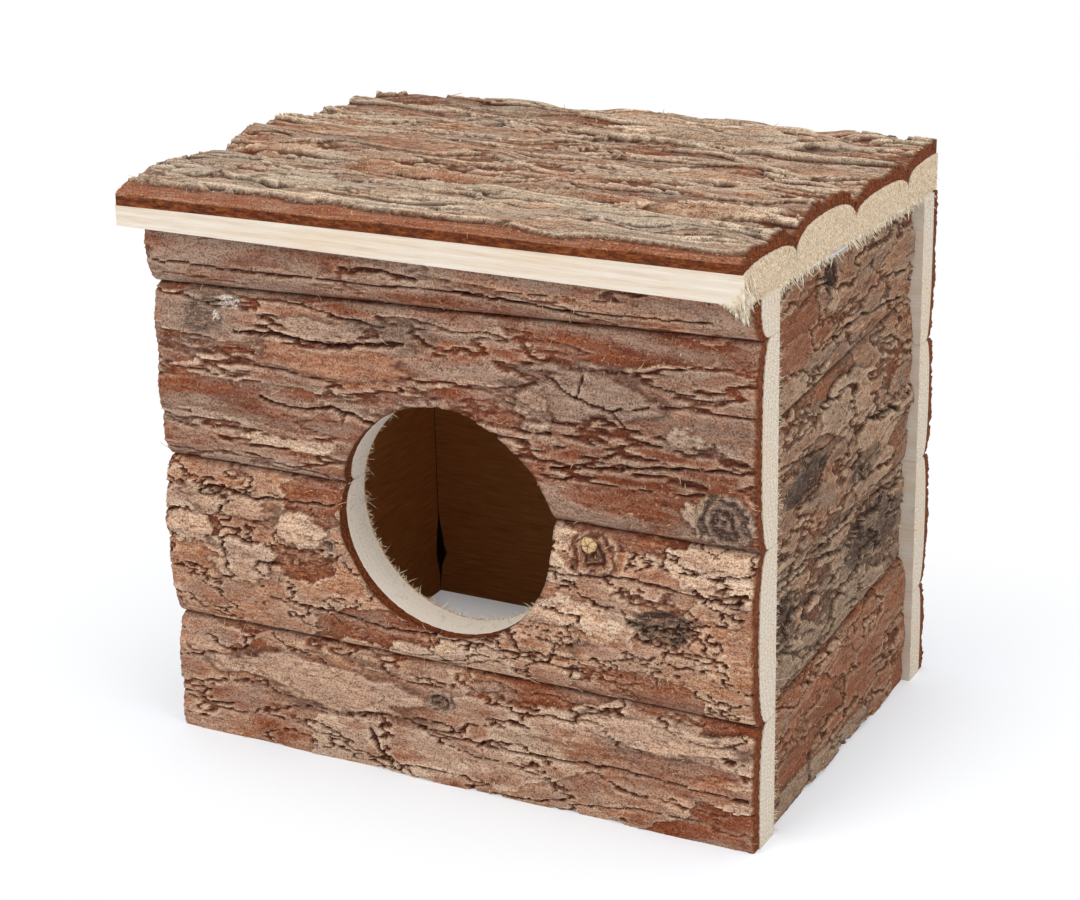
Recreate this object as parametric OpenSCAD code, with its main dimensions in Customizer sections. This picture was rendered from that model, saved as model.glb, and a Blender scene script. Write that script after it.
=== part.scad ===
// Hamster house of waney slats with their bark left on: four walls and a roof, each a
// panel of four half-round slats lying flat side in. There is no floor panel.
// Millimetres. +X runs to the right along the front, +Y to the back, +Z up. The origin
// is on the ground, under the middle of the whole house.

/* [House] */
// Length of the front and back walls
house_w = 150; // [120:1:220]
// Inside depth, between the flat sides of the front and back walls
room_d = 86; // [70:1:140]
// Height of the front wall at its flat side
front_h = 125.3; // [115:0.1:180]
// Drop of the roof's underside from the front wall to the back wall
roof_fall = 2; // [0.5:0.5:8]
// Distance from the ends of the front wall in to the side walls' bark
side_setback = 1; // [1:0.5:10]

/* [Entrance] */
// Diameter of the round entrance
hole_d = 54; // [35:1:60]
// Height of the entrance's middle
hole_z = 64.8; // [45:0.2:75]

/* [Slats] */
// Thickness of the bark on the ridges over the middle of a slat
bark_t = 3.5; // [2:0.1:6]
// Thickness of the bark at a slat's waney edges
bark_edge_t = 2.5; // [1:0.1:5]
// How square the rounded side of a slat is, 2 for an ellipse
squareness = 2.6; // [2:0.1:4]
// How much wider than its visible part a slat was before its panel was trimmed
ripped_off = 9; // [4:0.5:20]
// Depth of the hollows between the ridges in the walls' bark
wall_ridge_h = 0.9; // [0:0.1:1.4]
// Depth of the hollows between the ridges in the roof's bark
roof_ridge_h = 1.4; // [0:0.1:1.6]
// Distance from ridge to ridge across the slats
ridge_gap = 13; // [9:0.5:18]
// How far the ridges bend to either side along the grain
ridge_bend = 3; // [0:0.5:5]

/* [Front wall] */
// Height of the lowest slat
front_slat_1_h = 29; // [20:0.5:40]
// Height of the second slat
front_slat_2_h = 40; // [25:0.5:45]
// Height that is left of the top slat, at the left end
front_slat_4_h = 14; // [8:0.5:18]
// Rise of the seam under the top slat towards the right end
front_top_rise = 5; // [0:0.5:6]
// Rise of the two lower seams towards the right end
front_low_rise = 0.5; // [0:0.5:4]
// Wood thickness of slats 1 to 4 at their middle
front_wood_t = [7.9, 8.9, 8.3, 9.4]; // [6.5:0.1:14]
// Wood thickness at their waney edges
front_wood_edge_t = 4.2; // [2:0.2:6.2]

/* [Back wall] */
// Height of the lowest slat
back_slat_1_h = 24; // [18:0.5:34]
// Height of the second slat
back_slat_2_h = 34; // [22:0.5:40]
// Height of the third slat
back_slat_3_h = 29.5; // [20:0.5:34]
// Wood thickness of slats 1 to 4 at their middle
back_wood_t = [6.6, 7.4, 7.2, 6.7]; // [6:0.1:14]
// Wood thickness at their waney edges
back_wood_edge_t = 4; // [2:0.2:5.8]

/* [Side walls] */
// Height of the lowest slat of each side wall, at its middle
side_slat_1_h = 30; // [20:0.5:36]
// Height of the second slat
side_slat_2_h = 28; // [20:0.5:36]
// Height that is left of the top slat, at its middle
side_slat_4_h = 29; // [16:0.5:34]
// Rise of the lowest and the highest seam along a side wall
side_seam_rise = 6; // [0:0.5:8]
// Wood thickness of slats 1 to 4 at their middle
side_wood_t = [11.5, 10.3, 11.4, 11]; // [7.5:0.1:14]
// Wood thickness at their waney edges
side_wood_edge_t = 9.6; // [3:0.2:10]

/* [Roof] */
// How far the roof reaches past the front wall's bark
roof_front_overhang = 3.1; // [0:0.1:20]
// How far the roof reaches past the back wall's bark
roof_back_overhang = 0.1; // [0:0.1:20]
// How far the roof reaches past the left end of the front wall
roof_left_overhang = 4.5; // [0:0.5:20]
// How far the roof stops short of the right end of the front wall
roof_right_short = 1; // [0:0.5:2.5]
// Depth of the front slat, halfway along
roof_slat_1_d = 35; // [24:0.5:42]
// Depth of the third slat, halfway along
roof_slat_3_d = 33; // [24:0.5:38]
// Depth that is left of the back slat, halfway along
roof_slat_4_d = 11.5; // [11:0.5:20]
// How far the roof's seams run forward from the left end to the right end
roof_slant = 16; // [0:0.5:18]
// How much wider the front slat was before its front edge was sawn, halfway along
roof_front_ripped_off = 1.5; // [1:0.5:12]
// How much more of the front slat was sawn off at the right end than at the left end
roof_front_taper = 2; // [0:0.5:2]
// Wood thickness of slats 1 to 4 at their middle
roof_wood_t = [8, 9.7, 7.7, 8.5]; // [6.5:0.1:14]
// Wood thickness at their waney edges
roof_wood_edge_t = 3.6; // [2:0.2:6]

/* [Brads] */
// Diameter of a brad's shank
brad_d = 1.2; // [0.8:0.1:2]
// Diameter of its head
brad_head_d = 2.2; // [2.1:0.1:3]
// Thickness of its head
brad_head_t = 0.8; // [0.4:0.1:1]
// Length of a brad, with its head
brad_l = 24; // [18:0.5:28]
// Depth of a head's top under the bark above it
brad_sink = 1.2; // [0.5:0.1:2]
// Number of roof brads along each side wall
roof_brad_n = 4; // [2:1:6]
// Distance from a side wall's ends to its outer roof brads
roof_brad_margin = 5.5; // [4:0.5:12]

/* [Glue] */
// Radius of the bead of glue in the corner of roof and side wall
glue_r = 1.4; // [0.6:0.1:2.5]
// Length of that bead
glue_l = 10; // [4:0.5:40]
// Distance of the bead's middle behind the front wall
glue_y = 34; // [12:0.5:60]

/* [Hidden] */
// Slats in each panel, steps across a slat's rounded side, and length of a step of its bark
slat_n = 4;
profile_n = 18;
bark_step = 8;
// Length of the bends in the bark's ridges, length and width of their smaller sway, which
// bends them by sway_share as much, and of the lumps that take lump_share of their height
bend_l = 61;
sway_l = 29;
sway_w = 37;
sway_share = 0.7;
lump_l = 31;
lump_w = 17;
lump_share = 0.4;
// Degrees by which each slat's ridges start further along than those of the one before
slat_turn = 97;
// How far a cutting tool runs past what it cuts
cut_past = 1;
$fn = 64;

PANELS = ["front", "back", "left", "right", "roof"];

// Whole thickness of a panel, and of the house over front and back
front_t = max(front_wood_t) + bark_t;
back_t = max(back_wood_t) + bark_t;
room_w = house_w - 2 * (side_setback + bark_t + max(side_wood_t));
// Distance of a side wall's brads from the middle of the house
side_brad_x = (room_w + max(side_wood_t)) / 2;

// The roof's plan, with y = 0 at the flat side of the front wall
roof_x0 = -house_w / 2 - roof_left_overhang;
roof_x1 = house_w / 2 - roof_right_short;
roof_y0 = -front_t - roof_front_overhang;
roof_y1 = room_d + back_t + roof_back_overhang;
roof_w = roof_x1 - roof_x0;
roof_d = roof_y1 - roof_y0;
tilt = atan(roof_fall / room_d);

// Middle of the whole house in plan, which goes to the origin
middle = [(roof_x0 + house_w / 2) / 2, (roof_y0 + roof_y1) / 2, 0];

// Bigger than the house, for trimming
yard = 2 * (house_w + room_d + front_h);

// Each panel lies in its own frame: u along the slats from the left, as seen from
// outside, v across them and w outwards from the flat side. A seam list gives v of the
// edges of slats 1 to 4 at one end, with the outer edges where they were before trimming.
function front_seams(low_rise, top_rise) = [
    -ripped_off,
    front_slat_1_h + low_rise,
    front_slat_1_h + front_slat_2_h + low_rise,
    front_h - front_slat_4_h + top_rise,
    front_h + ripped_off
];
function back_seams() = [
    -ripped_off,
    back_slat_1_h,
    back_slat_1_h + back_slat_2_h,
    back_slat_1_h + back_slat_2_h + back_slat_3_h,
    front_h + ripped_off
];
function side_seams(rise) = [
    -ripped_off,
    side_slat_1_h + rise,
    side_slat_1_h + side_slat_2_h,
    front_h - side_slat_4_h + rise,
    front_h + ripped_off
];
function roof_seams(slant, taper) = [
    -roof_front_ripped_off - taper,
    roof_slat_1_d + slant,
    roof_d - roof_slat_4_d - roof_slat_3_d + slant,
    roof_d - roof_slat_4_d + slant,
    roof_d + ripped_off + max(slant, 0)
];

// A panel: its length, seams at the left and right end, the wood thickness of its slats at
// their middle and at their edges, and the height of its bark's ridges
function panel(name) =
    name == "front" ? [house_w, front_seams(0, 0), front_seams(front_low_rise, front_top_rise),
                       front_wood_t, front_wood_edge_t, wall_ridge_h] :
    name == "back" ? [house_w, back_seams(), back_seams(),
                      back_wood_t, back_wood_edge_t, wall_ridge_h] :
    name == "left" ? [room_d, side_seams(side_seam_rise / 2), side_seams(-side_seam_rise / 2),
                      side_wood_t, side_wood_edge_t, wall_ridge_h] :
    name == "right" ? [room_d, side_seams(-side_seam_rise / 2), side_seams(side_seam_rise / 2),
                       side_wood_t, side_wood_edge_t, wall_ridge_h] :
    [roof_w, roof_seams(roof_slant / 2, -roof_front_taper / 2),
     roof_seams(-roof_slant / 2, roof_front_taper / 2),
     roof_wood_t, roof_wood_edge_t, roof_ridge_h];

// Share of a slat's width at step i, closer together towards its edges
function across(i) = (1 - cos(180 * i / profile_n)) / 2;

// Height of a rounded side at the share s of the width, from its edge to its middle
function rounded(s, edge, crown) =
    edge + (crown - edge) * pow(1 - pow(abs(2 * s - 1), squareness), 1 / squareness);

// v of seam i of panel p at u, v at the share s of slat i's width, and the share at v
function seam(p, i, u) = p[1][i] + (p[2][i] - p[1][i]) * u / p[0];
function v_at(p, i, u, s) = seam(p, i, u) + (seam(p, i + 1, u) - seam(p, i, u)) * s;
function share(p, i, u, v) = (v - seam(p, i, u)) / (seam(p, i + 1, u) - seam(p, i, u));

// How much slat i's bark lies lower at u, v than its ridges do: 0 on a ridge, less elsewhere
function hollow(p, i, u, v) =
    let (
        turn = slat_turn * i,
        sway = sin(360 * (u / sway_l + v / sway_w) + 2 * turn),
        bend = ridge_bend * (sin(360 * u / bend_l + turn) + sway_share * sway),
        ridge = sin(360 * (v + bend) / ridge_gap + 3 * turn),
        lump = sin(360 * (u / lump_l + v / lump_w) + 4 * turn)
    )
    p[5] * ((1 - lump_share) * ridge + lump_share * lump - 1) / 2;

// Height of slat i's wood or bark over the flat side, at the share s of its width. The
// hollows in the bark run out towards the slat's edges.
function wood_top(p, i, s) = rounded(s, p[4], p[3][i]);
function bark_top(p, i, u, s) =
    rounded(s, p[4] + bark_edge_t, p[3][i] + bark_t)
    + hollow(p, i, u, v_at(p, i, u, s)) * (1 - pow(2 * s - 1, 4));

// Height of the bark of panel p over the point u, v
function bark_at(p, u, v) =
    [for (i = [0:slat_n - 1])
        if (v >= seam(p, i, u) && v < seam(p, i + 1, u))
            bark_top(p, i, u, share(p, i, u, v))][0];

// A row of points across slat i of panel p at u, with a list of their heights
function row(p, i, u, heights) =
    [for (k = [0:profile_n]) [u, v_at(p, i, u, across(k)), heights[k]]];

// A whole slat, or its bark, with its edges at the seams. Its lower side is ruled from end
// to end at the heights under, and over has the heights of each row along its upper side.
module slat_solid(p, i, under, over) {
    steps = len(over) - 1;
    lower = [for (end = [0, 1]) row(p, i, end * p[0], under)];
    upper = [for (j = [0:steps]) row(p, i, j * p[0] / steps, over[j])];
    points = [for (line = concat(lower, upper), point = line) point];
    n = profile_n;
    // First point of the lower side at the left and the right end, then of the upper side
    ll = 0;
    rl = n + 1;
    up = [for (j = [0:steps]) (j + 2) * (n + 1)];
    lu = up[0];
    ru = up[steps];
    quads = concat(
        [for (j = [0:steps - 1], k = [0:n - 1])
            [up[j] + k, up[j] + k + 1, up[j + 1] + k + 1, up[j + 1] + k]],
        [for (k = [0:n - 1]) [ll + k, rl + k, rl + k + 1, ll + k + 1]],
        [for (k = [0:n - 1]) [ll + k, ll + k + 1, lu + k + 1, lu + k]],
        [for (k = [0:n - 1]) [rl + k, ru + k, ru + k + 1, rl + k + 1]]
    );
    // The two edges of the slat are fans from their lower left corner
    edges = concat(
        [for (j = [0:steps - 1]) [ll, up[j], up[j + 1]]],
        [[ll, ru, rl]],
        [for (j = [0:steps - 1]) [ll + n, up[j + 1] + n, up[j] + n]],
        [[ll + n, rl + n, ru + n]]
    );
    halves = [for (q = quads, half = [[0, 1, 2], [0, 2, 3]]) [for (k = half) q[k]]];
    polyhedron(points = points, faces = concat(halves, edges));
}

module slat_wood(p, i) {
    flat = [for (k = [0:profile_n]) 0];
    top = [for (k = [0:profile_n]) wood_top(p, i, across(k))];
    slat_solid(p, i, flat, [top, top]);
}

module slat_bark(p, i) {
    steps = ceil(p[0] / bark_step);
    top = [for (k = [0:profile_n]) wood_top(p, i, across(k))];
    outside = [
        for (j = [0:steps])
            [for (k = [0:profile_n]) bark_top(p, i, j * p[0] / steps, across(k))]
    ];
    slat_solid(p, i, top, outside);
}

// Space over the ground and under the roof, which trims the walls
module wall_space() {
    intersection() {
        translate([-yard / 2, -yard / 2, 0]) cube(yard);
        translate([0, 0, front_h])
            rotate([-tilt, 0, 0])
                translate([-yard / 2, -yard / 2, -yard])
                    cube(yard);
    }
}

// Upright space over the roof's depth, which trims its front and back edges. It runs past
// the slats' ends, where nothing is trimmed.
module roof_space() {
    translate([roof_x0 - cut_past, roof_y0, 0])
        cube([roof_w + 2 * cut_past, roof_d, yard]);
}

// Carries what is drawn in a panel's own frame to its place in the house
module stand(name) {
    if (name == "front")
        translate([-house_w / 2, 0, 0]) rotate([90, 0, 0]) children();
    if (name == "back")
        translate([house_w / 2, room_d, 0]) rotate([0, 0, 180]) rotate([90, 0, 0]) children();
    if (name == "left")
        translate([-room_w / 2, room_d, 0]) rotate([0, 0, -90]) rotate([90, 0, 0]) children();
    if (name == "right")
        translate([room_w / 2, 0, 0]) rotate([0, 0, 90]) rotate([90, 0, 0]) children();
    if (name == "roof")
        translate([0, 0, front_h])
            rotate([-tilt, 0, 0])
                translate([roof_x0, roof_y0, 0])
                    children();
}

// One brad, its head's top at the origin and its point down
module brad() {
    translate([0, 0, -brad_head_t]) cylinder(h = brad_head_t, d = brad_head_d);
    translate([0, 0, -brad_l]) cylinder(h = brad_l, d = brad_d);
}

// The hole that a brad leaves, open through the bark over it
module brad_hole() {
    translate([0, 0, -brad_head_t]) cylinder(h = bark_t + front_t, d = brad_head_d);
    translate([0, 0, -brad_l]) cylinder(h = brad_l, d = brad_d);
}

// Places children at each brad of the front or back wall, in the wall's frame: one in
// each slat over each side wall, halfway up what is left of the slat
module at_wall_brads(name) {
    p = panel(name);
    top = front_h - (name == "back" ? roof_fall : 0);
    for (u = [house_w / 2 - side_brad_x, house_w / 2 + side_brad_x], i = [0:slat_n - 1]) {
        v = (max(seam(p, i, u), 0) + min(seam(p, i + 1, u), top)) / 2;
        translate([u, v, bark_at(p, u, v) - brad_sink])
            children();
    }
}

// Places children at each roof brad, in the roof's frame: a row over each side wall
module at_roof_brads() {
    p = panel("roof");
    pitch = (room_d - 2 * roof_brad_margin) / (roof_brad_n - 1);
    for (x = [-side_brad_x, side_brad_x], k = [0:roof_brad_n - 1]) {
        u = x - roof_x0;
        v = -roof_y0 + roof_brad_margin + k * pitch;
        translate([u, v, bark_at(p, u, v) - brad_sink])
            children();
    }
}

// Every brad's hole, and the entrance
module holes() {
    stand("front") at_wall_brads("front") brad_hole();
    stand("back") at_wall_brads("back") brad_hole();
    stand("roof") at_roof_brads() brad_hole();
}

module entrance() {
    translate([0, cut_past, hole_z])
        rotate([90, 0, 0])
            cylinder(h = front_t + 2 * cut_past, d = hole_d, $fn = 128);
}

// Cuts a slat or its bark out of its panel: trimmed, drilled and in its place
module fitted(name) {
    translate(-middle)
        difference() {
            intersection() {
                stand(name) children();
                if (name == "roof") roof_space();
                else wall_space();
            }
            holes();
            if (name == "front") entrance();
        }
}

// Front wall: slats 1 to 4 from the ground up
module front_slat(i) { color("#e3cda6") fitted("front") slat_wood(panel("front"), i - 1); }
module front_bark(i) { color("#7b5443") fitted("front") slat_bark(panel("front"), i - 1); }

// Back wall
module back_slat(i) { color("#e0c9a1") fitted("back") slat_wood(panel("back"), i - 1); }
module back_bark(i) { color("#70503f") fitted("back") slat_bark(panel("back"), i - 1); }

// Left side wall, between the front and back walls
module left_slat(i) { color("#dcc49b") fitted("left") slat_wood(panel("left"), i - 1); }
module left_bark(i) { color("#6f5142") fitted("left") slat_bark(panel("left"), i - 1); }

// Right side wall
module right_slat(i) { color("#dcc49b") fitted("right") slat_wood(panel("right"), i - 1); }
module right_bark(i) { color("#735747") fitted("right") slat_bark(panel("right"), i - 1); }

// Roof: slats 1 to 4 from the front to the back
module roof_slat(i) { color("#eddcbc") fitted("roof") slat_wood(panel("roof"), i - 1); }
module roof_bark(i) { color("#8a6d58") fitted("roof") slat_bark(panel("roof"), i - 1); }

// Brads through the front and back walls into the ends of the side walls, and through
// the roof into the side walls' top edges
module front_brads() {
    color("silver") translate(-middle) stand("front") at_wall_brads("front") brad();
}

module back_brads() {
    color("silver") translate(-middle) stand("back") at_wall_brads("back") brad();
}

module roof_brads() {
    color("silver") translate(-middle) stand("roof") at_roof_brads() brad();
}

// Height of a side wall's bark where its bead of glue lies against it
function glue_seat(name) =
    let (
        u = name == "right" ? glue_y : room_d - glue_y,
        v = front_h - roof_fall * glue_y / room_d
    )
    max([for (along = [-glue_l / 2:glue_l / 2], down = [0, glue_r])
        bark_at(panel(name), u + along, v - down)]);

// A bead of glue on each side, in the corner between the roof and the side wall's bark
module glue_bead() {
    length = glue_l - 2 * glue_r;
    intersection() {
        union() {
            rotate([90, 0, 0]) cylinder(h = length, r = glue_r, center = true);
            for (end = [-1, 1]) translate([0, end * length / 2, 0]) sphere(r = glue_r);
        }
        translate([0, -glue_l, -glue_r]) cube([glue_r, 2 * glue_l, glue_r]);
    }
}

module glue_beads() {
    color("#dfe3e8")
        translate(-middle)
            for (name = ["left", "right"])
                mirror([name == "left" ? 1 : 0, 0, 0])
                    translate([room_w / 2 + glue_seat(name), 0, front_h])
                        rotate([-tilt, 0, 0])
                            translate([0, glue_y, 0])
                                glue_bead();
}

for (i = [1:slat_n]) {
    front_slat(i);
    front_bark(i);
    back_slat(i);
    back_bark(i);
    left_slat(i);
    left_bark(i);
    right_slat(i);
    right_bark(i);
    roof_slat(i);
    roof_bark(i);
}
front_brads();
back_brads();
roof_brads();
glue_beads();
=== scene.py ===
# Small wooden house for a hamster, made up from half-round slats with the bark left on.
import math

import bpy
import numpy as np
from mathutils import Matrix, Vector, geometry


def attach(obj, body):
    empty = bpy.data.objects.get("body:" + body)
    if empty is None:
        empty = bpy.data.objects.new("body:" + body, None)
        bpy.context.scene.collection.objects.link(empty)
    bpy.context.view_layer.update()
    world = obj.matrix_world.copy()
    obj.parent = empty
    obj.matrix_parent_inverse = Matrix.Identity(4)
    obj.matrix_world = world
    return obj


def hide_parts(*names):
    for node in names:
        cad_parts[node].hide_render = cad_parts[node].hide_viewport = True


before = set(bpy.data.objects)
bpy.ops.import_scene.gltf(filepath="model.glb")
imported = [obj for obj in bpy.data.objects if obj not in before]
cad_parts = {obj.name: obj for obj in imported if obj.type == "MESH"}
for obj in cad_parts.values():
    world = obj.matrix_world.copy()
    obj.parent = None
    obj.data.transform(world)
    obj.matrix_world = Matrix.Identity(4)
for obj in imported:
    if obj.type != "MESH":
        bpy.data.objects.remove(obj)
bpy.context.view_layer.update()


# ---------------------------------------------------------------------------
# The wood of the twenty slats: slabs off thin conifer logs, sawn on the inner side and the
# edges. Front, back and roof slats run left to right, side slats run front to back.
# The CAD solids stay, and get sawn softwood, painted darker and warmer where it was planed for the room:
# painted shade and the warm bounced light of the room inside.

MM = 0.001


def linear(colour):
    """An sRGB hex colour as the linear one that the shader sockets take."""
    parts = [int(colour[k:k + 2], 16) / 255 for k in (1, 3, 5)]
    return (*[p / 12.92 if p <= 0.04045 else ((p + 0.055) / 1.055) ** 2.4 for p in parts], 1.0)


def add(tree, kind, inputs=None, ramp=None, **settings):
    """Adds a shader node, with its settings, its ramp colours and what feeds its inputs. An
    input takes a number, an sRGB hex colour, a socket, or a node for that node's first output."""
    new = tree.nodes.new("ShaderNode" + kind)
    for name, value in settings.items():
        setattr(new, name, value)
    for name, value in (inputs or {}).items():
        if isinstance(value, bpy.types.ShaderNode):
            value = value.outputs[0]
        if isinstance(value, bpy.types.NodeSocket):
            tree.links.new(value, new.inputs[name])
        elif isinstance(value, str):
            new.inputs[name].default_value = linear(value)
        else:
            new.inputs[name].default_value = value
    if ramp:
        stops = new.color_ramp.elements
        while len(stops) < len(ramp):
            stops.new(0.5)
        for stop, (place, colour) in zip(stops, ramp):
            stop.position = place
            stop.color = linear(colour)
    return new


def material(name):
    """A new material, its emptied node tree and the object coordinates of the shaded point."""
    made = bpy.data.materials.new(name)
    made.use_nodes = True
    tree = made.node_tree
    tree.nodes.clear()
    return made, tree, add(tree, "TexCoord").outputs["Object"]


def panel_axes(tree, panel, place):
    """The shaded point's millimetres along the grain, across it and out from the flat side."""
    found = []
    for key in ("along", "across", "outward"):
        axis = Vector(panel[key])
        at = add(tree, "VectorMath", {0: place, 1: axis / MM}, operation="DOT_PRODUCT")
        found.append(add(tree, "Math", {0: at.outputs["Value"], 1: axis.dot(Vector(panel["origin"]))},
                         operation="SUBTRACT"))
    return found


def scaled(tree, axes, factors):
    """A point whose coordinates are the axes times the factors, for stretched patterns."""
    times = [add(tree, "Math", {0: axis, 1: factor}, operation="MULTIPLY")
             for axis, factor in zip(axes, factors)]
    return add(tree, "CombineXYZ", dict(enumerate(times)))


# The room's inner faces, in mm.
ROOM_LEFT, ROOM_RIGHT = -56.75, 61.25
ROOM_FRONT, ROOM_BACK = -40.5, 45.5
# The room's middle, and half its length and depth with 0.4 mm of its walls, in metres.
ROOM_MIDDLE = ((ROOM_LEFT + ROOM_RIGHT) / 2 * MM, (ROOM_FRONT + ROOM_BACK) / 2 * MM, 0)
ROOM_HALF = ((ROOM_RIGHT - ROOM_LEFT + 0.8) / 2 * MM, (ROOM_BACK - ROOM_FRONT + 0.8) / 2 * MM, 0)


def past_room(tree, place):
    """How far a point lies beyond the room's walls, in metres: less than 0 inside the room."""
    away = add(tree, "VectorMath", {0: place, 1: ROOM_MIDDLE}, operation="SUBTRACT")
    away = add(tree, "VectorMath", {0: away}, operation="ABSOLUTE")
    away = add(tree, "VectorMath", {0: away, 1: ROOM_HALF}, operation="SUBTRACT")
    away = add(tree, "SeparateXYZ", {0: away})
    return add(tree, "Math", {0: away, 1: away.outputs[1]}, operation="MAXIMUM")


# A year's growth, in mm.
RING = 1.6
# Middle of the entrance along and across the front wall, and its radius, in mm.
ENTRANCE = ((75.0, 64.8), 27.0)
# Where the back and left walls meet, at the height where they stand furthest apart.
ROOM_CORNER = (ROOM_LEFT * MM, ROOM_BACK * MM, 12.5 * MM)


def sawn_softwood(panel, i, ends=("#a78f74", "#c9bca8", "#e2d9ca")):
    """Bandsawn pale softwood: cream, matt, with faint growth lines 1.6 mm apart that are arcs
    on the end grain, cut fibres that stipple it, and a dark glue line where slats meet. ends
    holds the end grain's colours, from dark to pale."""
    wood, tree, place = material(f"sawn_softwood_{panel['name']}_{i + 1}")
    u, v, w = panel_axes(tree, panel, place)
    low = (panel["left"][i], panel["right"][i])
    high = (panel["left"][i + 1], panel["right"][i + 1])
    middle = sum(low + high) / 4
    from_pith = add(tree, "Math", {0: v, 1: middle}, operation="SUBTRACT")
    deep = add(tree, "Math", {0: w, 1: 5.0}, operation="ADD")
    rings = add(tree, "TexWave", {
        "Vector": scaled(tree, (u, from_pith, deep), (0.02, 0.4, 1.0)),
        "Scale": 2 * math.pi / (20 * RING), "Distortion": 2.5, "Detail": 3.0, "Detail Scale": 0.5,
    }, wave_type="RINGS", rings_direction="X")
    # Bundles of fibres 10 mm long and 0.3 mm wide. Pores are really 0.03 mm wide and are drawn
    # 0.45 mm wide, so that the end grain shows its stipple.
    fibres = add(tree, "TexNoise", {
        "Vector": scaled(tree, (u, v, w), (0.1, 3.0, 3.0)), "Scale": 1.0, "Detail": 5.0,
        "Roughness": 0.65,
    })
    pores = add(tree, "TexNoise", {"Vector": place, "Scale": 2.2 / MM, "Detail": 3.0, "Roughness": 0.75})
    blotch = add(tree, "TexNoise", {
        "Vector": scaled(tree, (u, v, w), (0.03, 0.12, 0.12)), "Scale": 1.0, "Detail": 4.0,
    })
    tone = add(tree, "ValToRGB", {"Fac": rings.outputs["Fac"]},
               ramp=[(0.0, "#d9c9b4"), (0.5, "#e0d3c3"), (1.0, "#e4dacd")])
    streak = add(tree, "ValToRGB", {"Fac": fibres},
                 ramp=[(0.3, "#bfa685"), (0.5, "#decfbc"), (0.72, "#ece4d8")])
    streaked = add(tree, "MixRGB", {"Fac": 0.45, "Color1": tone, "Color2": streak})
    # End grain drinks light: a little darker, and stippled.
    normal = add(tree, "TexCoord").outputs["Normal"]
    facing = add(tree, "VectorMath", {0: normal, 1: panel["along"]}, operation="DOT_PRODUCT")
    facing = add(tree, "Math", {0: facing.outputs["Value"]}, operation="ABSOLUTE")
    on_end = add(tree, "MapRange", {"Value": facing, "From Min": 0.35, "From Max": 0.9})
    stipple = add(tree, "ValToRGB", {"Fac": pores},
                  ramp=[(0.38, ends[0]), (0.48, ends[1]), (0.58, ends[2])])
    end_tone = add(tree, "MixRGB", {"Fac": 0.85, "Color1": tone, "Color2": stipple})
    late_wood = add(tree, "MapRange", {
        "Value": rings.outputs["Fac"], "From Min": 0.0, "From Max": 0.35, "To Min": 0.16, "To Max": 0.0,
    })
    end_tone = add(tree, "MixRGB", {"Fac": late_wood, "Color1": end_tone, "Color2": ends[0]})
    sawn = add(tree, "MixRGB", {"Fac": on_end, "Color1": streaked, "Color2": end_tone})
    warm = add(tree, "MapRange", {"Value": blotch, "From Min": 0.45, "From Max": 0.75, "To Max": 0.3})
    sawn = add(tree, "MixRGB", {"Fac": warm, "Color1": sawn, "Color2": "#d7b388"})
    if panel["name"] == "front":
        # The wood round the entrance is painted paler: a painted light on the lip of the hole, which lies in
        # shade.
        middle, radius = ENTRANCE
        from_axis = add(tree, "CombineXYZ", {0: u, 1: v})
        from_axis = add(tree, "VectorMath", {0: from_axis, 1: (*middle, 0)},
                        operation="DISTANCE")
        lip_painted_light = add(tree, "MapRange", {
            "Value": from_axis.outputs["Value"], "From Min": radius + 0.2, "From Max": radius + 1,
            "To Min": 0.6, "To Max": 0.0,
        })
        sawn = add(tree, "MixRGB", {"Fac": lip_painted_light, "Color1": sawn, "Color2": "#f8efe2"})
    # Faces towards the room are planed, and painted a warm brown: painted shade and the warm bounced light of
    # the dim room.
    in_room = add(tree, "Math", {0: past_room(tree, place), 1: 0.0}, operation="LESS_THAN")
    planed_and_bounce_light = add(tree, "ValToRGB", {"Fac": fibres},
                 ramp=[(0.25, "#b8743c"), (0.5, "#dfa05e"), (0.75, "#f0be7c")])
    if panel["name"] in ("back", "left"):
        # The far left corner stands open by a ragged gap, drawn as nearly black painted shade on the
        # planed faces: 1.8 mm wide at its widest, and nearly closed 10 mm higher or lower.
        aside = add(tree, "VectorMath", {0: place, 1: ROOM_CORNER}, operation="SUBTRACT")
        aside = add(tree, "VectorMath", {0: aside, 3: 1 / MM}, operation="SCALE")
        aside = add(tree, "SeparateXYZ", {0: aside})
        reach = add(tree, "Math", {0: aside, 1: aside.outputs[1]}, operation="SUBTRACT")
        rise = add(tree, "Math", {0: aside.outputs[2], 1: 0.18}, operation="MULTIPLY")
        rise = add(tree, "Math", {0: rise, 1: 2.0}, operation="POWER")
        bulge = add(tree, "Math", {0: 0.37, 1: rise}, operation="POWER")
        width = add(tree, "Math", {0: bulge, 1: 1.7, 2: 0.1}, operation="MULTIPLY_ADD")
        reach = add(tree, "Math", {0: reach, 1: width}, operation="DIVIDE")
        reach = add(tree, "Math", {0: reach, 1: blotch}, operation="MULTIPLY")
        corner_gap_shade = add(tree, "MapRange", {
            "Value": reach, "From Min": 0.4, "From Max": 0.6, "To Min": 1.0, "To Max": 0.0,
        })
        planed_and_bounce_light = add(tree, "MixRGB", {"Fac": corner_gap_shade, "Color1": planed_and_bounce_light, "Color2": "#120602"})
    colour = add(tree, "MixRGB", {"Fac": in_room, "Color1": sawn, "Color2": planed_and_bounce_light})
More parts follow.
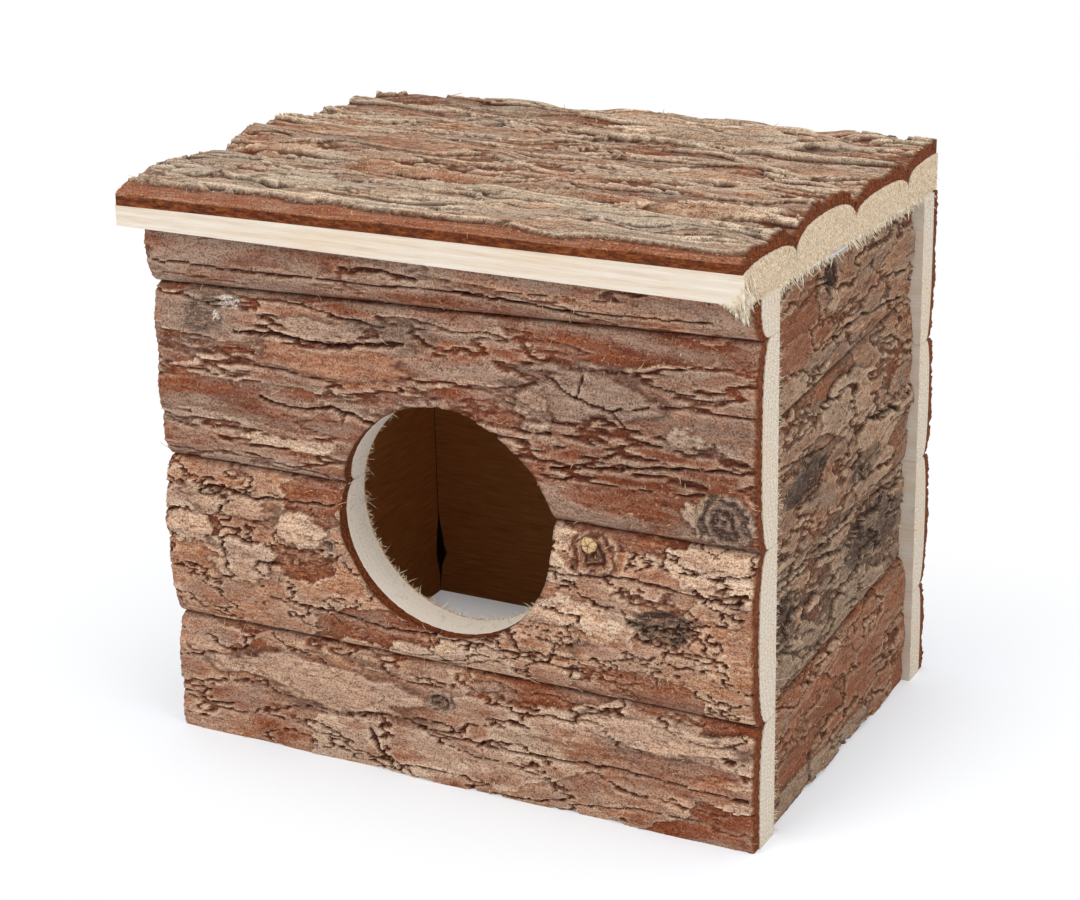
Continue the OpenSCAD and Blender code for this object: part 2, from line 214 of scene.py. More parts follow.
    # A brown line 0.4 mm wide where slats are glued.
    for at_left, at_right in (low, high):
        rise = add(tree, "Math", {0: u, 1: (at_right - at_left) / panel["length"], 2: at_left},
                   operation="MULTIPLY_ADD")
        off = add(tree, "Math", {0: v, 1: rise}, operation="SUBTRACT")
        off = add(tree, "Math", {0: off}, operation="ABSOLUTE")
        line = add(tree, "MapRange", {
            "Value": off, "From Min": 0.05, "From Max": 0.35, "To Min": 0.22, "To Max": 0.0,
        })
        colour = add(tree, "MixRGB", {"Fac": line, "Color1": colour, "Color2": "#7d5a3a"})
    relief = add(tree, "Math", {0: fibres, 1: pores}, operation="ADD")
    bump = add(tree, "Bump", {"Height": relief, "Strength": 0.6, "Distance": 0.2 * MM})
    shader = add(tree, "BsdfPrincipled", {
        "Base Color": colour, "Roughness": 0.82, "IOR": 1.45,
        "Specular IOR Level": 0.3, "Normal": bump,
    })
    add(tree, "OutputMaterial", {0: shader})
    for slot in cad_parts[f"{panel['name']}_slat_{i + 1}"].material_slots:
        slot.material = wood


# ---------------------------------------------------------------------------
# The bark of the slats: scaly conifer bark 2.5 to 4 mm thick, in plates with cracks between
# them that painted shade darkens, flaking off in layers, and paler on its edges from wear and a
# painted highlight. It grew on the wood, and the saw cut it flush at the ends, at the entrance
# and at the seams.

def scatter(i, j, seed):
    """A random number from 0 to 1 for each cell, the same one on each run."""
    h = i.astype(np.uint32) * np.uint32(374761393) + j.astype(np.uint32) * np.uint32(668265263)
    h = h + np.uint32(seed * 97531 % 4294967291)
    h = (h ^ (h >> np.uint32(13))) * np.uint32(1274126177)
    h = h ^ (h >> np.uint32(16))
    return h / 4294967296.0


def swell(x, y, seed):
    """Smooth random swells from about -1 to 1, one to a unit of x and of y."""
    i, j = np.floor(x).astype(np.int64), np.floor(y).astype(np.int64)
    fx, fy = x - i, y - j
    ease_x, ease_y = fx * fx * (3 - 2 * fx), fy * fy * (3 - 2 * fy)
    total = 0
    for di in (0, 1):
        for dj in (0, 1):
            turn = 2 * np.pi * scatter(i + di, j + dj, seed)
            lean = np.cos(turn) * (fx - di) + np.sin(turn) * (fy - dj)
            total = total + lean * (ease_x if di else 1 - ease_x) * (ease_y if dj else 1 - ease_y)
    return 1.5 * total


def rough(x, y, seed, times=4, keep=0.5):
    """Swells on swells, each twice as dense as the last and keep times as large."""
    total, size = 0, 0.6
    for k in range(times):
        total = total + size * swell(x * 2 ** k, y * 2 ** k, seed + 31 * k)
        size = size * keep
    return total


def scales(x, y, seed, level):
    """Plates that fill the bark. Gives how far a point is from its plate's border, the levels of
    its own plate and of the one across that border, a number from 0 to 1 for its plate, and the
    way from the plate's middle. level gives a plate's level from its middle and its number."""
    i, j = np.floor(x).astype(np.int64), np.floor(y).astype(np.int64)
    near = [np.full(x.shape, 99.0)] + [np.zeros(x.shape) for _ in range(3)]
    next_ = [np.full(x.shape, 99.0)] + [np.zeros(x.shape) for _ in range(3)]
    for di in (-1, 0, 1):
        for dj in (-1, 0, 1):
            a = i + di + 0.06 + 0.88 * scatter(i + di, j + dj, seed)
            b = j + dj + 0.06 + 0.88 * scatter(i + di, j + dj, seed + 5)
            new = [np.hypot(x - a, y - b), a, b, scatter(i + di, j + dj, seed + 9)]
            closer = new[0] < near[0]
            second = ~closer & (new[0] < next_[0])
            next_ = [np.where(closer, n, np.where(second, w, o)) for n, w, o in zip(near, new, next_)]
            near = [np.where(closer, w, n) for n, w in zip(near, new)]
    far, a, b, own = near
    far2, a2, b2, own2 = next_
    border = (far2 ** 2 - far ** 2) / (2 * np.hypot(a2 - a, b2 - b) + 1e-6)
    return border, level(a, b, own), level(a2, b2, own2), own, x - a, y - b


def step(low, high, value):
    """0 below low, 1 above high, and smooth between."""
    t = np.clip((value - low) / (high - low), 0, 1)
    return t * t * (3 - 2 * t)


def soften(field, reach):
    """The field averaged over cells up to reach away, twice."""
    for axis in (0, 1, 0, 1):
        pad = [(0, 0), (0, 0)]
        pad[axis] = (reach + 1, reach)
        total = np.cumsum(np.pad(field, pad, mode="edge"), axis=axis)
        total = np.moveaxis(total, axis, 0)
        field = np.moveaxis(total[2 * reach + 1:] - total[:-2 * reach - 1], 0, axis)
        field = field / (2 * reach + 1)
    return field


# A slat's outline across the grain is half of a squarish oval. Its bark is 3.5 mm thick on the
# crown and 2.5 mm at the seams.
SQUARENESS = 2.6
BARK = 3.5
BARK_EDGE = 2.5


def rounded(s, edge, crown):
    """Height of a half-round slat over its inner side, s from 0 to 1 across it."""
    return edge + (crown - edge) * (1 - np.abs(2 * s - 1) ** SQUARENESS) ** (1 / SQUARENESS)


def ridges(i, u, v):
    """The low ridges along the grain of slat i's bark, from -1 to 1, as its solid has them:
    13 mm apart, bending to either side, with lumps over them."""
    full = 2 * math.pi
    turn = math.radians(97 * i)
    bend = 3 * (np.sin(full * u / 61 + turn) + 0.7 * np.sin(full * (u / 29 + v / 37) + 2 * turn))
    ridge = np.sin(full * (v + bend) / 13 + 3 * turn)
    return 0.6 * ridge + 0.4 * np.sin(full * (u / 31 + v / 17) + 4 * turn)


def crust(u, v, size, layers, density, ragged, seed):
    """Plates of bark about size mm long and wide that lie in up to so many layers. Gives the
    layer, a number for the plate, how far its edge is in mm and how far up the next plate is."""
    long, wide = size
    x = u / long + 0.3 * rough(u / long * 1.7, v / wide * 1.4, seed, 4, ragged)
    y = v / wide + 0.34 * rough(u / long * 1.5, v / wide * 1.6, seed + 1, 4, ragged)

    def level(a, b, own):
        spread = density + 0.55 * rough(a / 2.2, b / 2.2, seed + 4, 2) + 0.8 * (own - 0.5)
        return np.clip(np.floor(layers * (0.5 + spread)), 0, layers)

    border, own_level, next_level, own, dx, dy = scales(x, y, seed + 5, level)
    return own_level, own, border * wide * 1.2, next_level - own_level, dx, dy


def grow_bark(u, v, look, marks, seed):
    """Relief and colouring of bark at the points u along and v across the grain, in mm.

    A look has the size of the plates, their layers and how full these are (crust), the height
    of a layer (step) and how ragged its edges are. Smaller flakes lie on them: their size as a
    share of a plate (flake), how full they are (flaky) and where (broken). closed and hair say
    how many cracks are shut or are there, furrow is the length, spacing and width of furrows,
    band the streaks along the grain, grain and grit the size and height of the crumbs, relief
    the height of it all, and raw, grey and tone the shares of young, old and pale bark."""
    ragged = look["ragged"]
    big, own, edge, rise, dx, dy = crust(u, v, look["plate"], look["layers"], look["crust"], ragged, seed)
    part = (look["plate"][0] * look["flake"], look["plate"][1] * look["flake"])
    small, own2, edge2, rise2, _, dy2 = crust(u, v, part, 2, look["flaky"], ragged, seed + 20)
    where = step(-0.15, 0.25, rough(u / 16, v / 7, seed + 40, 3) + look["broken"])
    small, rise2 = small * where, np.where(where > 0.5, rise2, 0)
    # Below a plate's edge it is darkened with painted shadow and dirt, and on top its edge is paler: rubbed,
    # and a painted highlight.
    open_ = step(-0.5, 0.3, rough(u / 6, v / 3, seed + 44, 3) - look["closed"])
    crack = (1 - step(0.05, 0.5, edge)) * np.clip(rise, 0, 1) * open_
    crack2 = (1 - step(0.0, 0.4, edge2)) * np.clip(rise2, 0, 1) * 0.7 * open_
    hair = (1 - step(0.0, 0.3, edge)) * (rise == 0)
    hair = hair * step(-0.1, 0.2, swell(u / 9, v / 5, seed + 41) + look["hair"])
    rim = (1 - step(0.2, 1.0, edge)) * np.clip(-rise, 0, 1)
    rim2 = (1 - step(0.1, 0.7, edge2)) * np.clip(-rise2, 0, 1) * 0.7
    # Furrows wander along the grain, down to a young and crumbly red-brown bark.
    long, wide, share = look["furrow"]
    bend = rough(u / 12, v / 5, seed + 2, 5, 0.6)
    run = np.abs(rough(u / long + 3.1, (v + 0.6 * bend) / wide, seed + 11, 5, 0.55))
    width = share * (0.5 + 1.2 * step(-0.4, 0.6, swell(u / 22, v / 9, seed + 13)))
    furrow = 1 - step(width, width + 0.05, run)
    bank = (1 - step(width + 0.05, width + 0.16, run)) * (1 - furrow)
    level = (big + 0.5 * small) * (1 - furrow)
    top = look["layers"] + 1
    bands = 0.6 * swell(u / 45, (v + bend) / 3.0, seed + 16)
    bands = bands + 0.4 * swell(u / 20, (v + 0.5 * bend) / 1.1, seed + 17)
    threads = swell(u / 6, v / 0.6, seed + 19)
    crumb = look["grain"]
    grit = 0.5 * swell(u / (0.95 * crumb), v / 0.75, seed + 14)
    grit = look["grit"] * (grit + 0.5 * swell(u / (0.5 * crumb), v / 0.42, seed + 15))
    loose = np.maximum(furrow, 0.6 * (1 - step(0.0, 1.2, level)))
    on_top = 1 - furrow
    height = look["step"] * (level - 0.4 * top) - 0.5 * furrow
    height = height + on_top * (0.25 * (own - 0.5) + 0.35 * dy * (own - 0.3) + 0.2 * dx * (own - 0.5))
    height = height + on_top * where * 0.2 * dy2 * (own2 - 0.3)
    height = height + on_top * (0.12 * rim + 0.08 * rim2 - 0.45 * crack - 0.3 * crack2 - 0.3 * hair)
    height = height + 0.1 * bank + (0.07 + 0.16 * loose) * grit + 0.05 * threads + look["band"] * 0.25 * bands
    masks = {
        "tone": 0.16 + look["tone"] + 0.66 * level / top
                + on_top * (0.2 * (own - 0.5) + 0.12 * where * (own2 - 0.5))
                + 0.3 * look["band"] * bands + 0.06 * threads + 0.12 * rough(u / 9, v / 4, seed + 18, 4, 0.6)
                + 0.12 * (rim + rim2) * on_top + 0.1 * bank + 0.1 * loose * grit,
        "raw": step(0.0, 0.5, 0.5 * rough(u / 17, v / 6, seed + 21, 4, 0.6) + look["raw"]
                    + 0.25 * (loose - 0.5) + 0.25 * look["band"] * bands),
        "grey": step(-0.05, 0.5, 0.6 * rough(u / 19, v / 7, seed + 22, 4, 0.6) + look["grey"]
                     - 0.3 * look["band"] * bands),
        "dark": np.zeros(u.shape),
        # Painted shade darkens the cracks, the hair cracks and the middles of the furrows.
        "crack": np.maximum.reduce([
            crack * on_top, crack2 * on_top, hair * on_top,
            furrow * np.clip(0.1 - 1.2 * grit + 0.25 * (1 - run / (width + 1e-3)), 0, 1),
        ]),
        "pale": np.zeros(u.shape),
    }
    height = height * look["relief"]
    for mark in marks:
        height = mark(u, v, height, masks, seed)
    masks["height"] = height
    return masks


def blob(u, v, at, size, seed, ragged=0.3, sharp=0.12, turn=0.0):
    """1 inside a ragged oval at a place on the slat, 0 outside; turn is in degrees."""
    c, s = math.cos(math.radians(turn)), math.sin(math.radians(turn))
    x, y = u - at[0], v - at[1]
    along, across = (x * c + y * s) / size[0], (y * c - x * s) / size[1]
    far = np.hypot(along, across) + ragged * rough(u / size[0] * 1.3, v / size[1] * 1.3, seed, 6, 0.58)
    return 1 - step(1 - sharp, 1 + sharp, far)


def cover(masks, inside, **values):
    """Lays values over the masks of the same names, where inside is 1."""
    for name, value in values.items():
        masks[name] = masks[name] * (1 - inside) + value * inside


def patch(at, size, turn=0.0, lift=0.0, smooth=0.0, sharp=0.15, **tints):
    """A stretch of bark with its own colour, height or smoothness."""
    def lay(u, v, height, masks, seed):
        inside = blob(u, v, at, size, seed + int(at[0] * 7 + at[1]), 0.65, sharp, turn)
        cover(masks, inside, **tints)
        cover(masks, smooth * inside, crack=0)
        # A raised patch gets a dark outline: painted shadow along its edge.
        if lift > 0:
            masks["crack"] = np.maximum(masks["crack"], 3.2 * inside * (1 - inside))
        flat = height * (1 - smooth) + smooth * (lift + 0.15 * swell(u / 7, v / 1.6, seed + 3))
        return height * (1 - inside) + inside * (flat + lift * (1 - smooth))
    return lay


def peeled(left_width, right_width, length):
    """A strip along the slat's lower edge that has lost its crust, down to the red inner bark."""
    def lay(u, v, height, masks, seed):
        width = left_width + (right_width - left_width) * u / length + 1.6 * rough(u / 14, v / 9, seed, 5)
        inside = 1 - step(width - 0.15, width + 0.15, v)
        cover(masks, inside, crack=0, grey=0, raw=0.8 + 0.4 * swell(u / 12, v / 0.8, seed + 1))
        # Its border is darkened: painted shadow under the edge of the crust.
        masks["crack"] = np.maximum(masks["crack"], 3.2 * inside * (1 - inside))
        return height * (1 - inside) + inside * (-0.9 + 0.1 * swell(u / 7, v / 0.7, seed + 2))
    return lay


def slit(points, width, depth, **tints):
    """A crack along a line of points, sunk and darkened with painted shade."""
    def lay(u, v, height, masks, seed):
        x = u + 0.5 * swell(u / 2.5, v / 2.5, seed + 41)
        y = v + 0.45 * swell(u / 3, v / 3, seed + 42)
        near = np.full(u.shape, 99.0)
        for (x0, y0), (x1, y1) in zip(points[:-1], points[1:]):
            dx, dy = x1 - x0, y1 - y0
            t = np.clip(((x - x0) * dx + (y - y0) * dy) / (dx * dx + dy * dy), 0, 1)
            near = np.minimum(near, np.hypot(x - x0 - t * dx, y - y0 - t * dy))
        open_ = width * (0.7 + 0.5 * swell(u / 4, v / 4, seed + 43))
        inside = 1 - step(0.3, 1.0, near / np.maximum(open_, 0.08))
        masks["crack"] = np.maximum(masks["crack"], inside)
        cover(masks, inside, **tints)
        return height - depth * inside
    return lay


def knot(at, radius, squash=1.0, old=1.0, black=0.9):
    """A dead branch grown over: ridges round a nearly black middle, grey where they are old."""
    def lay(u, v, height, masks, seed):
        x, y = (u - at[0]) / squash, v - at[1]
        turn = np.arctan2(y, x)
        far = (np.abs(x) ** 2.4 + np.abs(y) ** 2.4) ** (1 / 2.4)
        far = far + 0.09 * radius * rough(u / 2.4, v / 2.4, seed + 51, 4)
        inside = 1 - step(0.9 * radius, 1.05 * radius, far)
        rings = 0.5 + 0.5 * np.sin(far * 18 / (radius + 2) + 1.4 * np.sin(turn + 1)
                                   + 6.0 * rough(u / 5, v / 5, seed + 52, 4, 0.6))
        core = 1 - step(0.15 * radius, 0.75 * radius, far)
        crumbs = np.clip(0.5 + rough(u / 0.9, v / 0.9, seed + 53, 3), 0, 1)
        soot = inside * (black + (1 - black) * core * (0.4 + 0.6 * crumbs)) * (1 - 0.5 * rings * old)
        masks["dark"] = np.maximum(masks["dark"] * (1 - inside), soot)
        # Painted shade darkens the troughs between the ridges.
        trough = (0.9 - 0.5 * old) * (1 - step(0.1, 0.5, rings))
        cover(masks, inside, grey=old, raw=(1 - old) * 0.7, tone=0.25 + 0.3 * rings, crack=trough)
        bowl = -0.9 * core + 0.5 * np.exp(-((far - 0.85 * radius) / (0.15 * radius)) ** 2)
        return height * (1 - 0.8 * inside) + inside * (bowl + 0.45 * (rings - 0.5) + 0.3 * core * crumbs)
    return lay


def lay_out(panel, i, cell):
    """Points about cell mm apart over slat i: u along it, v across its panel, s from 0 to 1
    between its seams, and how far apart these are."""
    share = np.linspace(0, 1, int(panel["length"] / cell) + 1)[:, None]
    low = panel["left"][i] + (panel["right"][i] - panel["left"][i]) * share
    high = panel["left"][i + 1] + (panel["right"][i + 1] - panel["left"][i + 1]) * share
    top = panel["top"][0] + (panel["top"][1] - panel["top"][0]) * share
    from_v = np.maximum(low, panel["bottom"])
    to_v = np.minimum(high, top)
    t = np.linspace(0, 1, int((to_v - from_v).max() / cell * 1.1) + 1)[None, :]
    # Rows lie closer together towards the seams, where the slat falls away steeply.
    t = 0.6 * t + 0.4 * (0.5 - 0.5 * np.cos(math.pi * t))
    v = from_v + (to_v - from_v) * t
    return share * panel["length"] + 0 * t, v, np.clip((v - low) / (high - low), 0, 1), high - low


def outer_face(panel, i, look, marks, seed, cell, hole):
    """Points over slat i, the heights of its bark and of the wood below, and its colouring."""
    u, v, s, width = lay_out(panel, i, cell)
    masks = grow_bark(u, v, look, marks, seed)
    # At the end where the blade came out the bark is torn down to rust-brown fibre.
    tear = panel.get("torn", 1.0)
    torn = 1 - step(0.2, tear, panel["length"] - u + 0.8 * rough(u / 3, v / 1.2, seed + 63))
    relief = np.clip(masks["height"], -2.0, 1.2) - 0.15 * tear * torn
    # Near a seam the bark is worn down to its edge.
    at_seam = np.minimum(s, 1 - s) * width
    fray = 0.5 + 0.8 * rough(u / 8, v / 8, seed + 64, 4, 0.6)
    relief = relief * (0.35 + 0.65 * step(0.0, 2.5, at_seam)) - 0.5 * fray * (1 - step(0.0, 1.6, at_seam))
    bark_top = rounded(s, panel["edge"] + BARK_EDGE, panel["wood"][i] + BARK) + relief
    bark_top = bark_top + panel["ridge"] / 2 * (ridges(i, u, v) - 1) * (1 - (2 * s - 1) ** 4)
    wood_top = rounded(s, panel["edge"], panel["wood"][i])
    bark_top = np.maximum(bark_top, wood_top + 0.8)
    # Painted shade in the hollows and cracks and along the dips at the seams, from how the relief lies below
    # its surroundings. The torn end and a band up to 0.9 mm wide round the entrance are darkened too.
    broad = soften(relief, 5) - soften(relief, 16)
    fine = relief - soften(relief, 2)
    hollow = np.clip(-1.5 * fine - 0.4 * broad, 0, 1) + 0.9 * masks["crack"]
    hollow = hollow + 0.7 * np.clip(fray, 0, 1) * (1 - step(0.0, 1.1, at_seam))
    hollow = hollow + panel.get("burnt", 0) * torn
    if hole:
        hollow = hollow + 0.4 * (1 - step(0.1, 0.9, np.hypot(u - hole[0][0], v - hole[0][1]) - hole[1]))
    masks["hollow"] = hollow
    # Raised spots are paler: wear and a painted highlight.
    masks["worn"] = np.clip(2.4 * fine + 0.4 * broad, 0, 1)
    masks["cut"] = 0.85 * torn
    return u, v, bark_top, wood_top, masks


def free_border(quads, size):
    """The points round a sheet of quads in their order; size is the number of all points."""
    starts = quads.ravel()
    ends = np.roll(quads, -1, axis=1).ravel()
    lone = ~np.isin(starts * size + ends, ends * size + starts)
    following = dict(zip(starts[lone].tolist(), ends[lone].tolist()))
    loop = [int(starts[lone][0])]
    while following[loop[-1]] != loop[0]:
        loop.append(following[loop[-1]])
    return np.array(loop)


def place_piece(name, data, finish=None):
    """Puts a mesh, lamp or camera in the scene under its name, in its material if it has one."""
    placed = bpy.data.objects.new(name, data)
    bpy.context.scene.collection.objects.link(placed)
    if finish:
        data.materials.append(finish)
    return placed


def weld_bark(name, panel, i, look, marks, seed, cell, hole=None):
    """Builds the closed solid of one slat's bark on its panel, and returns the object. cell is
    the mesh's spacing in mm, and hole the middle and radius of an opening cut through it."""
    u, v, bark_top, wood_top, masks = outer_face(panel, i, look, marks, seed, cell, hole)
    count_u, count_v = u.shape

    # The saw leaves the bark's ends a little crumbled.
    kept = np.ones((count_u - 1, count_v - 1), bool)
    crumbled = 0.08 + 0.3 * np.clip(0.5 + swell(v[0] / 0.9, v[0] / 3, seed + 61), 0, 1)
    u[0] += crumbled
    u[-1] -= crumbled[::-1]
    if hole:
        (hx, hv), radius = hole
        chip = radius + 0.1 + 0.2 * np.clip(swell(u / 1.2, v / 1.2, seed + 62), 0, 1)
        gone = np.hypot(u - hx, v - hv) < radius + 0.1 - 0.6 * cell
        kept = ~(gone[:-1, :-1] | gone[1:, :-1] | gone[:-1, 1:] | gone[1:, 1:])
    index = np.arange(u.size).reshape(u.shape)
    quads = np.stack([index[:-1, :-1], index[1:, :-1], index[1:, 1:], index[:-1, 1:]], -1)[kept]
    loop = free_border(quads, u.size)
    flat_u, flat_v = u.ravel().copy(), v.ravel().copy()
    if hole:
        far = np.hypot(flat_u[loop] - hx, flat_v[loop] - hv)
        at_border = (loop % count_v == 0) | (loop % count_v == count_v - 1)
        on_rim = (far < radius + 2.2 * cell) & ~at_border
        rim = loop[on_rim]
        drawn_in = chip.ravel()[rim] / far[on_rim]
        flat_u[rim] = hx + (flat_u[rim] - hx) * drawn_in
        flat_v[rim] = hv + (flat_v[rim] - hv) * drawn_in
        # Where the opening meets the seam, the corner stays on the seam.
        corner = loop[at_border & (np.roll(on_rim, 1) | np.roll(on_rim, -1))]
        half = np.sqrt(chip.ravel()[corner] ** 2 - (flat_v[corner] - hv) ** 2)
        flat_u[corner] = hx + np.sign(flat_u[corner] - hx) * half

    # The cut face goes down from the rim to the wood in four rings, then the back closes it.
    used = np.zeros(u.size, bool)
    used[quads.ravel()] = True
    order = np.cumsum(used) - 1
    quads = order[quads]
    ring = order[loop]
    point_u, point_v = flat_u[used], flat_v[used]
    point_w = bark_top.ravel()[used]
    floor_w = wood_top.ravel()[loop] - 0.15
    layers = [point_w]
    us, vs, cuts = [point_u], [point_v], [masks["cut"].ravel()[used]]
    faces = quads.tolist()
    last, total = ring, len(point_u)
    for depth in (0.1, 0.4, 0.7, 1.0):
        layers.append(point_w[ring] * (1 - depth) + floor_w * depth)
        us.append(point_u[ring])
        vs.append(point_v[ring])
        cuts.append(np.ones(len(ring)))
        new = total + np.arange(len(ring))
        total += len(ring)
        faces += np.stack([np.roll(last, -1), last, new, np.roll(new, -1)], -1).tolist()
        last = new
    all_u, all_v, all_w = np.concatenate(us), np.concatenate(vs), np.concatenate(layers)
    spots = [Vector((float(a), float(b))) for a, b in zip(all_u[last], all_v[last])]
    sides = [(k, (k + 1) % len(spots)) for k in range(len(spots))]
    _, _, backs, origins, _, _ = geometry.delaunay_2d_cdt(spots, sides, [], 1, 1e-6)
    for back in backs:
        a, b, c = [origins[k][0] for k in back]
        turned = (spots[b] - spots[a]).cross(spots[c] - spots[a])
        faces.append([int(last[k]) for k in ((a, c, b) if turned > 0 else (a, b, c))])

    origin, along, across, outward = [np.array(panel[k]) for k in ("origin", "along", "across", "outward")]
    places = origin + all_u[:, None] * along + all_v[:, None] * across + all_w[:, None] * outward
    mesh = bpy.data.meshes.new(name)
    mesh.from_pydata((places * MM).tolist(), [], faces)
    everywhere = np.concatenate([np.flatnonzero(used), *[loop] * 4])
    columns = {
        "layers": [masks["tone"], masks["hollow"], masks["worn"]],
        "weather": [masks["raw"], masks["grey"], masks["dark"]],
    }
    for key, fields in columns.items():
        values = np.stack([np.clip(f.ravel()[everywhere], 0, 1) for f in fields], -1)
        mesh.attributes.new(key, "FLOAT_VECTOR", "POINT").data.foreach_set("vector", values.ravel())
    extra = np.stack([np.concatenate(cuts), np.clip(masks["pale"].ravel()[everywhere], 0, 1),
                      0 * everywhere], -1)
    mesh.attributes.new("edges", "FLOAT_VECTOR", "POINT").data.foreach_set("vector", extra.ravel())
    mesh.shade_smooth()
    mesh.set_sharp_from_angle(angle=math.radians(55))
    bark = place_piece(name, mesh, panel["bark"])
    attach(bark, "root")
    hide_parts(f"{panel['name']}_bark_{i + 1}")
    return bark


def scaly_bark(name, grain, plates, raw, old, rose, deep):
    """Weathered conifer bark: matt plates in several browns and greys, red-brown where a scale
    has just come off, darkened nearly to black in hollows and cracks by painted shade, paler on
    raised edges from wear and a painted highlight, and rust-brown and fibrous where it is cut.
    grain is the axis it runs along, and plates holds the plates' colours from dark to pale. raw,
    old, rose and deep are those of young bark, weathered bark, clouds and the painted shade in
    hollows and cracks."""
    bark, tree, place = material(name)
    # Flecks 2.2 mm long and 0.6 mm wide, clouds 20 mm long, and grit of 0.4 mm. Real grit is
    # half as coarse and wouldn't show.
    stretch = (0.45, 1.6, 1.6) if grain == "X" else (1.6, 0.45, 1.6)
    drawn = add(tree, "Mapping", {"Vector": place, "Scale": [k / MM for k in stretch]})
    fleck = add(tree, "TexNoise", {"Vector": drawn, "Scale": 1.0, "Detail": 6.0, "Roughness": 0.72})
    grit = add(tree, "TexNoise", {"Vector": place, "Scale": 2.4 / MM, "Detail": 4.0, "Roughness": 0.7})
    cloud = add(tree, "TexNoise", {"Vector": drawn, "Scale": 0.11, "Detail": 6.0, "Roughness": 0.65})
    # Hair cracks along the grain, darkened with painted shade, and chips of pale fibre half a millimetre
    # long.
    web = add(tree, "TexNoise", {"Vector": drawn, "Scale": 0.28, "Detail": 6.0, "Roughness": 0.62})
    web = add(tree, "Math", {0: web, 1: 0.5}, operation="SUBTRACT")
    web = add(tree, "Math", {0: web}, operation="ABSOLUTE")
    fissure = add(tree, "MapRange", {
        "Value": web, "From Min": 0.001, "From Max": 0.014, "To Min": 0.9, "To Max": 0.0,
    })
    chips = add(tree, "TexNoise", {"Vector": place, "Scale": 1.1 / MM, "Detail": 2.0, "Roughness": 0.5})
    chips = add(tree, "MapRange", {"Value": chips, "From Min": 0.63, "From Max": 0.69, "To Max": 0.45})
    layers, weather, edges = [
        add(tree, "SeparateXYZ", {0: add(tree, "Attribute", attribute_name=key).outputs["Vector"]})
        for key in ("layers", "weather", "edges")
    ]
    tone, hollow, worn = layers.outputs
    bare, grey, dark = weather.outputs
    cut, pale, _ = edges.outputs
    mottled = add(tree, "Math", {0: fleck, 1: 1.7, 2: -0.88}, operation="MULTIPLY_ADD")
    mottled = add(tree, "Math", {0: tone, 1: mottled}, operation="ADD")
    base = add(tree, "ValToRGB", {"Fac": mottled}, ramp=plates)
    clouded = add(tree, "MapRange", {"Value": cloud, "From Min": 0.44, "From Max": 0.6, "To Max": 0.65})
    base = add(tree, "MixRGB", {"Fac": clouded, "Color1": base, "Color2": rose})
    aged = add(tree, "Math", {0: grey, 1: fleck}, operation="MULTIPLY")
    aged = add(tree, "Math", {0: aged, 1: 1.5}, operation="MULTIPLY", use_clamp=True)
    greyed = add(tree, "MixRGB", {"Fac": aged, "Color1": base, "Color2": old})
    raw_tone = add(tree, "MixRGB", {"Fac": grit, "Color1": raw[0], "Color2": raw[1]})
    bared = add(tree, "MixRGB", {"Fac": bare, "Color1": greyed, "Color2": raw_tone})
    # Raised edges are paler: wear and a painted highlight.
    rubbed_and_lit = add(tree, "Math", {0: worn, 1: 0.75}, operation="MULTIPLY", use_clamp=True)
    lit = add(tree, "MixRGB", {"Fac": rubbed_and_lit, "Color1": bared, "Color2": plates[-1][1]})
    crumbs = add(tree, "MapRange", {"Value": fleck, "From Min": 0.4, "From Max": 0.56, "To Min": 0.35})
    # Painted shade: hollows and hair cracks darken towards deep, patchier with the grit.
    shade_grit = add(tree, "Math", {0: grit, 1: 0.7, 2: 0.65}, operation="MULTIPLY_ADD")
    painted_shade = add(tree, "Math", {0: hollow, 1: shade_grit}, operation="MULTIPLY", use_clamp=True)
    painted_shade = add(tree, "Math", {0: painted_shade, 1: fissure}, operation="MAXIMUM")
    shadowed = add(tree, "MixRGB", {"Fac": painted_shade, "Color1": lit, "Color2": deep})
    black = add(tree, "Math", {0: dark, 1: crumbs}, operation="MULTIPLY")
    shadowed = add(tree, "MixRGB", {"Fac": black, "Color1": shadowed, "Color2": "#2a211e"})
    shadowed = add(tree, "MixRGB", {"Fac": chips, "Color1": shadowed, "Color2": plates[3][1]})
    chalk = add(tree, "Math", {0: pale, 1: grit}, operation="MULTIPLY")
    chalk = add(tree, "MapRange", {"Value": chalk, "From Min": 0.4, "From Max": 0.55})
    limed = add(tree, "MixRGB", {"Fac": chalk, "Color1": shadowed, "Color2": "#d8d0c6"})
    sand = add(tree, "ValToRGB", {"Fac": grit},
               ramp=[(0.36, "#948070"), (0.46, "#e6dad0"), (0.55, "#ffffff")])
    limed = add(tree, "MixRGB", {"Fac": 1.0, "Color1": limed, "Color2": sand},
                blend_type="MULTIPLY")
    cut_tone = add(tree, "ValToRGB", {"Fac": fleck},
                   ramp=[(0.32, "#2a1004"), (0.5, "#663012"), (0.68, "#955424")])
    colour = add(tree, "MixRGB", {"Fac": cut, "Color1": limed, "Color2": cut_tone})
    grain_height = add(tree, "Math", {0: fleck, 1: grit}, operation="ADD")
    bump = add(tree, "Bump", {"Height": grain_height, "Strength": 0.7, "Distance": 0.3 * MM})
    shader = add(tree, "BsdfPrincipled", {
        "Base Color": colour, "Roughness": 0.86, "IOR": 1.45,
        "Specular IOR Level": 0.25, "Normal": bump,
    })
    add(tree, "OutputMaterial", {0: shader})
    return bark


# ---------------------------------------------------------------------------
# Front wall: four slats, 150 mm long, edge-glued, with the top one ripped to a strip under
# the roof. The round entrance of 54 mm was cut through the two middle slats with a hole saw.

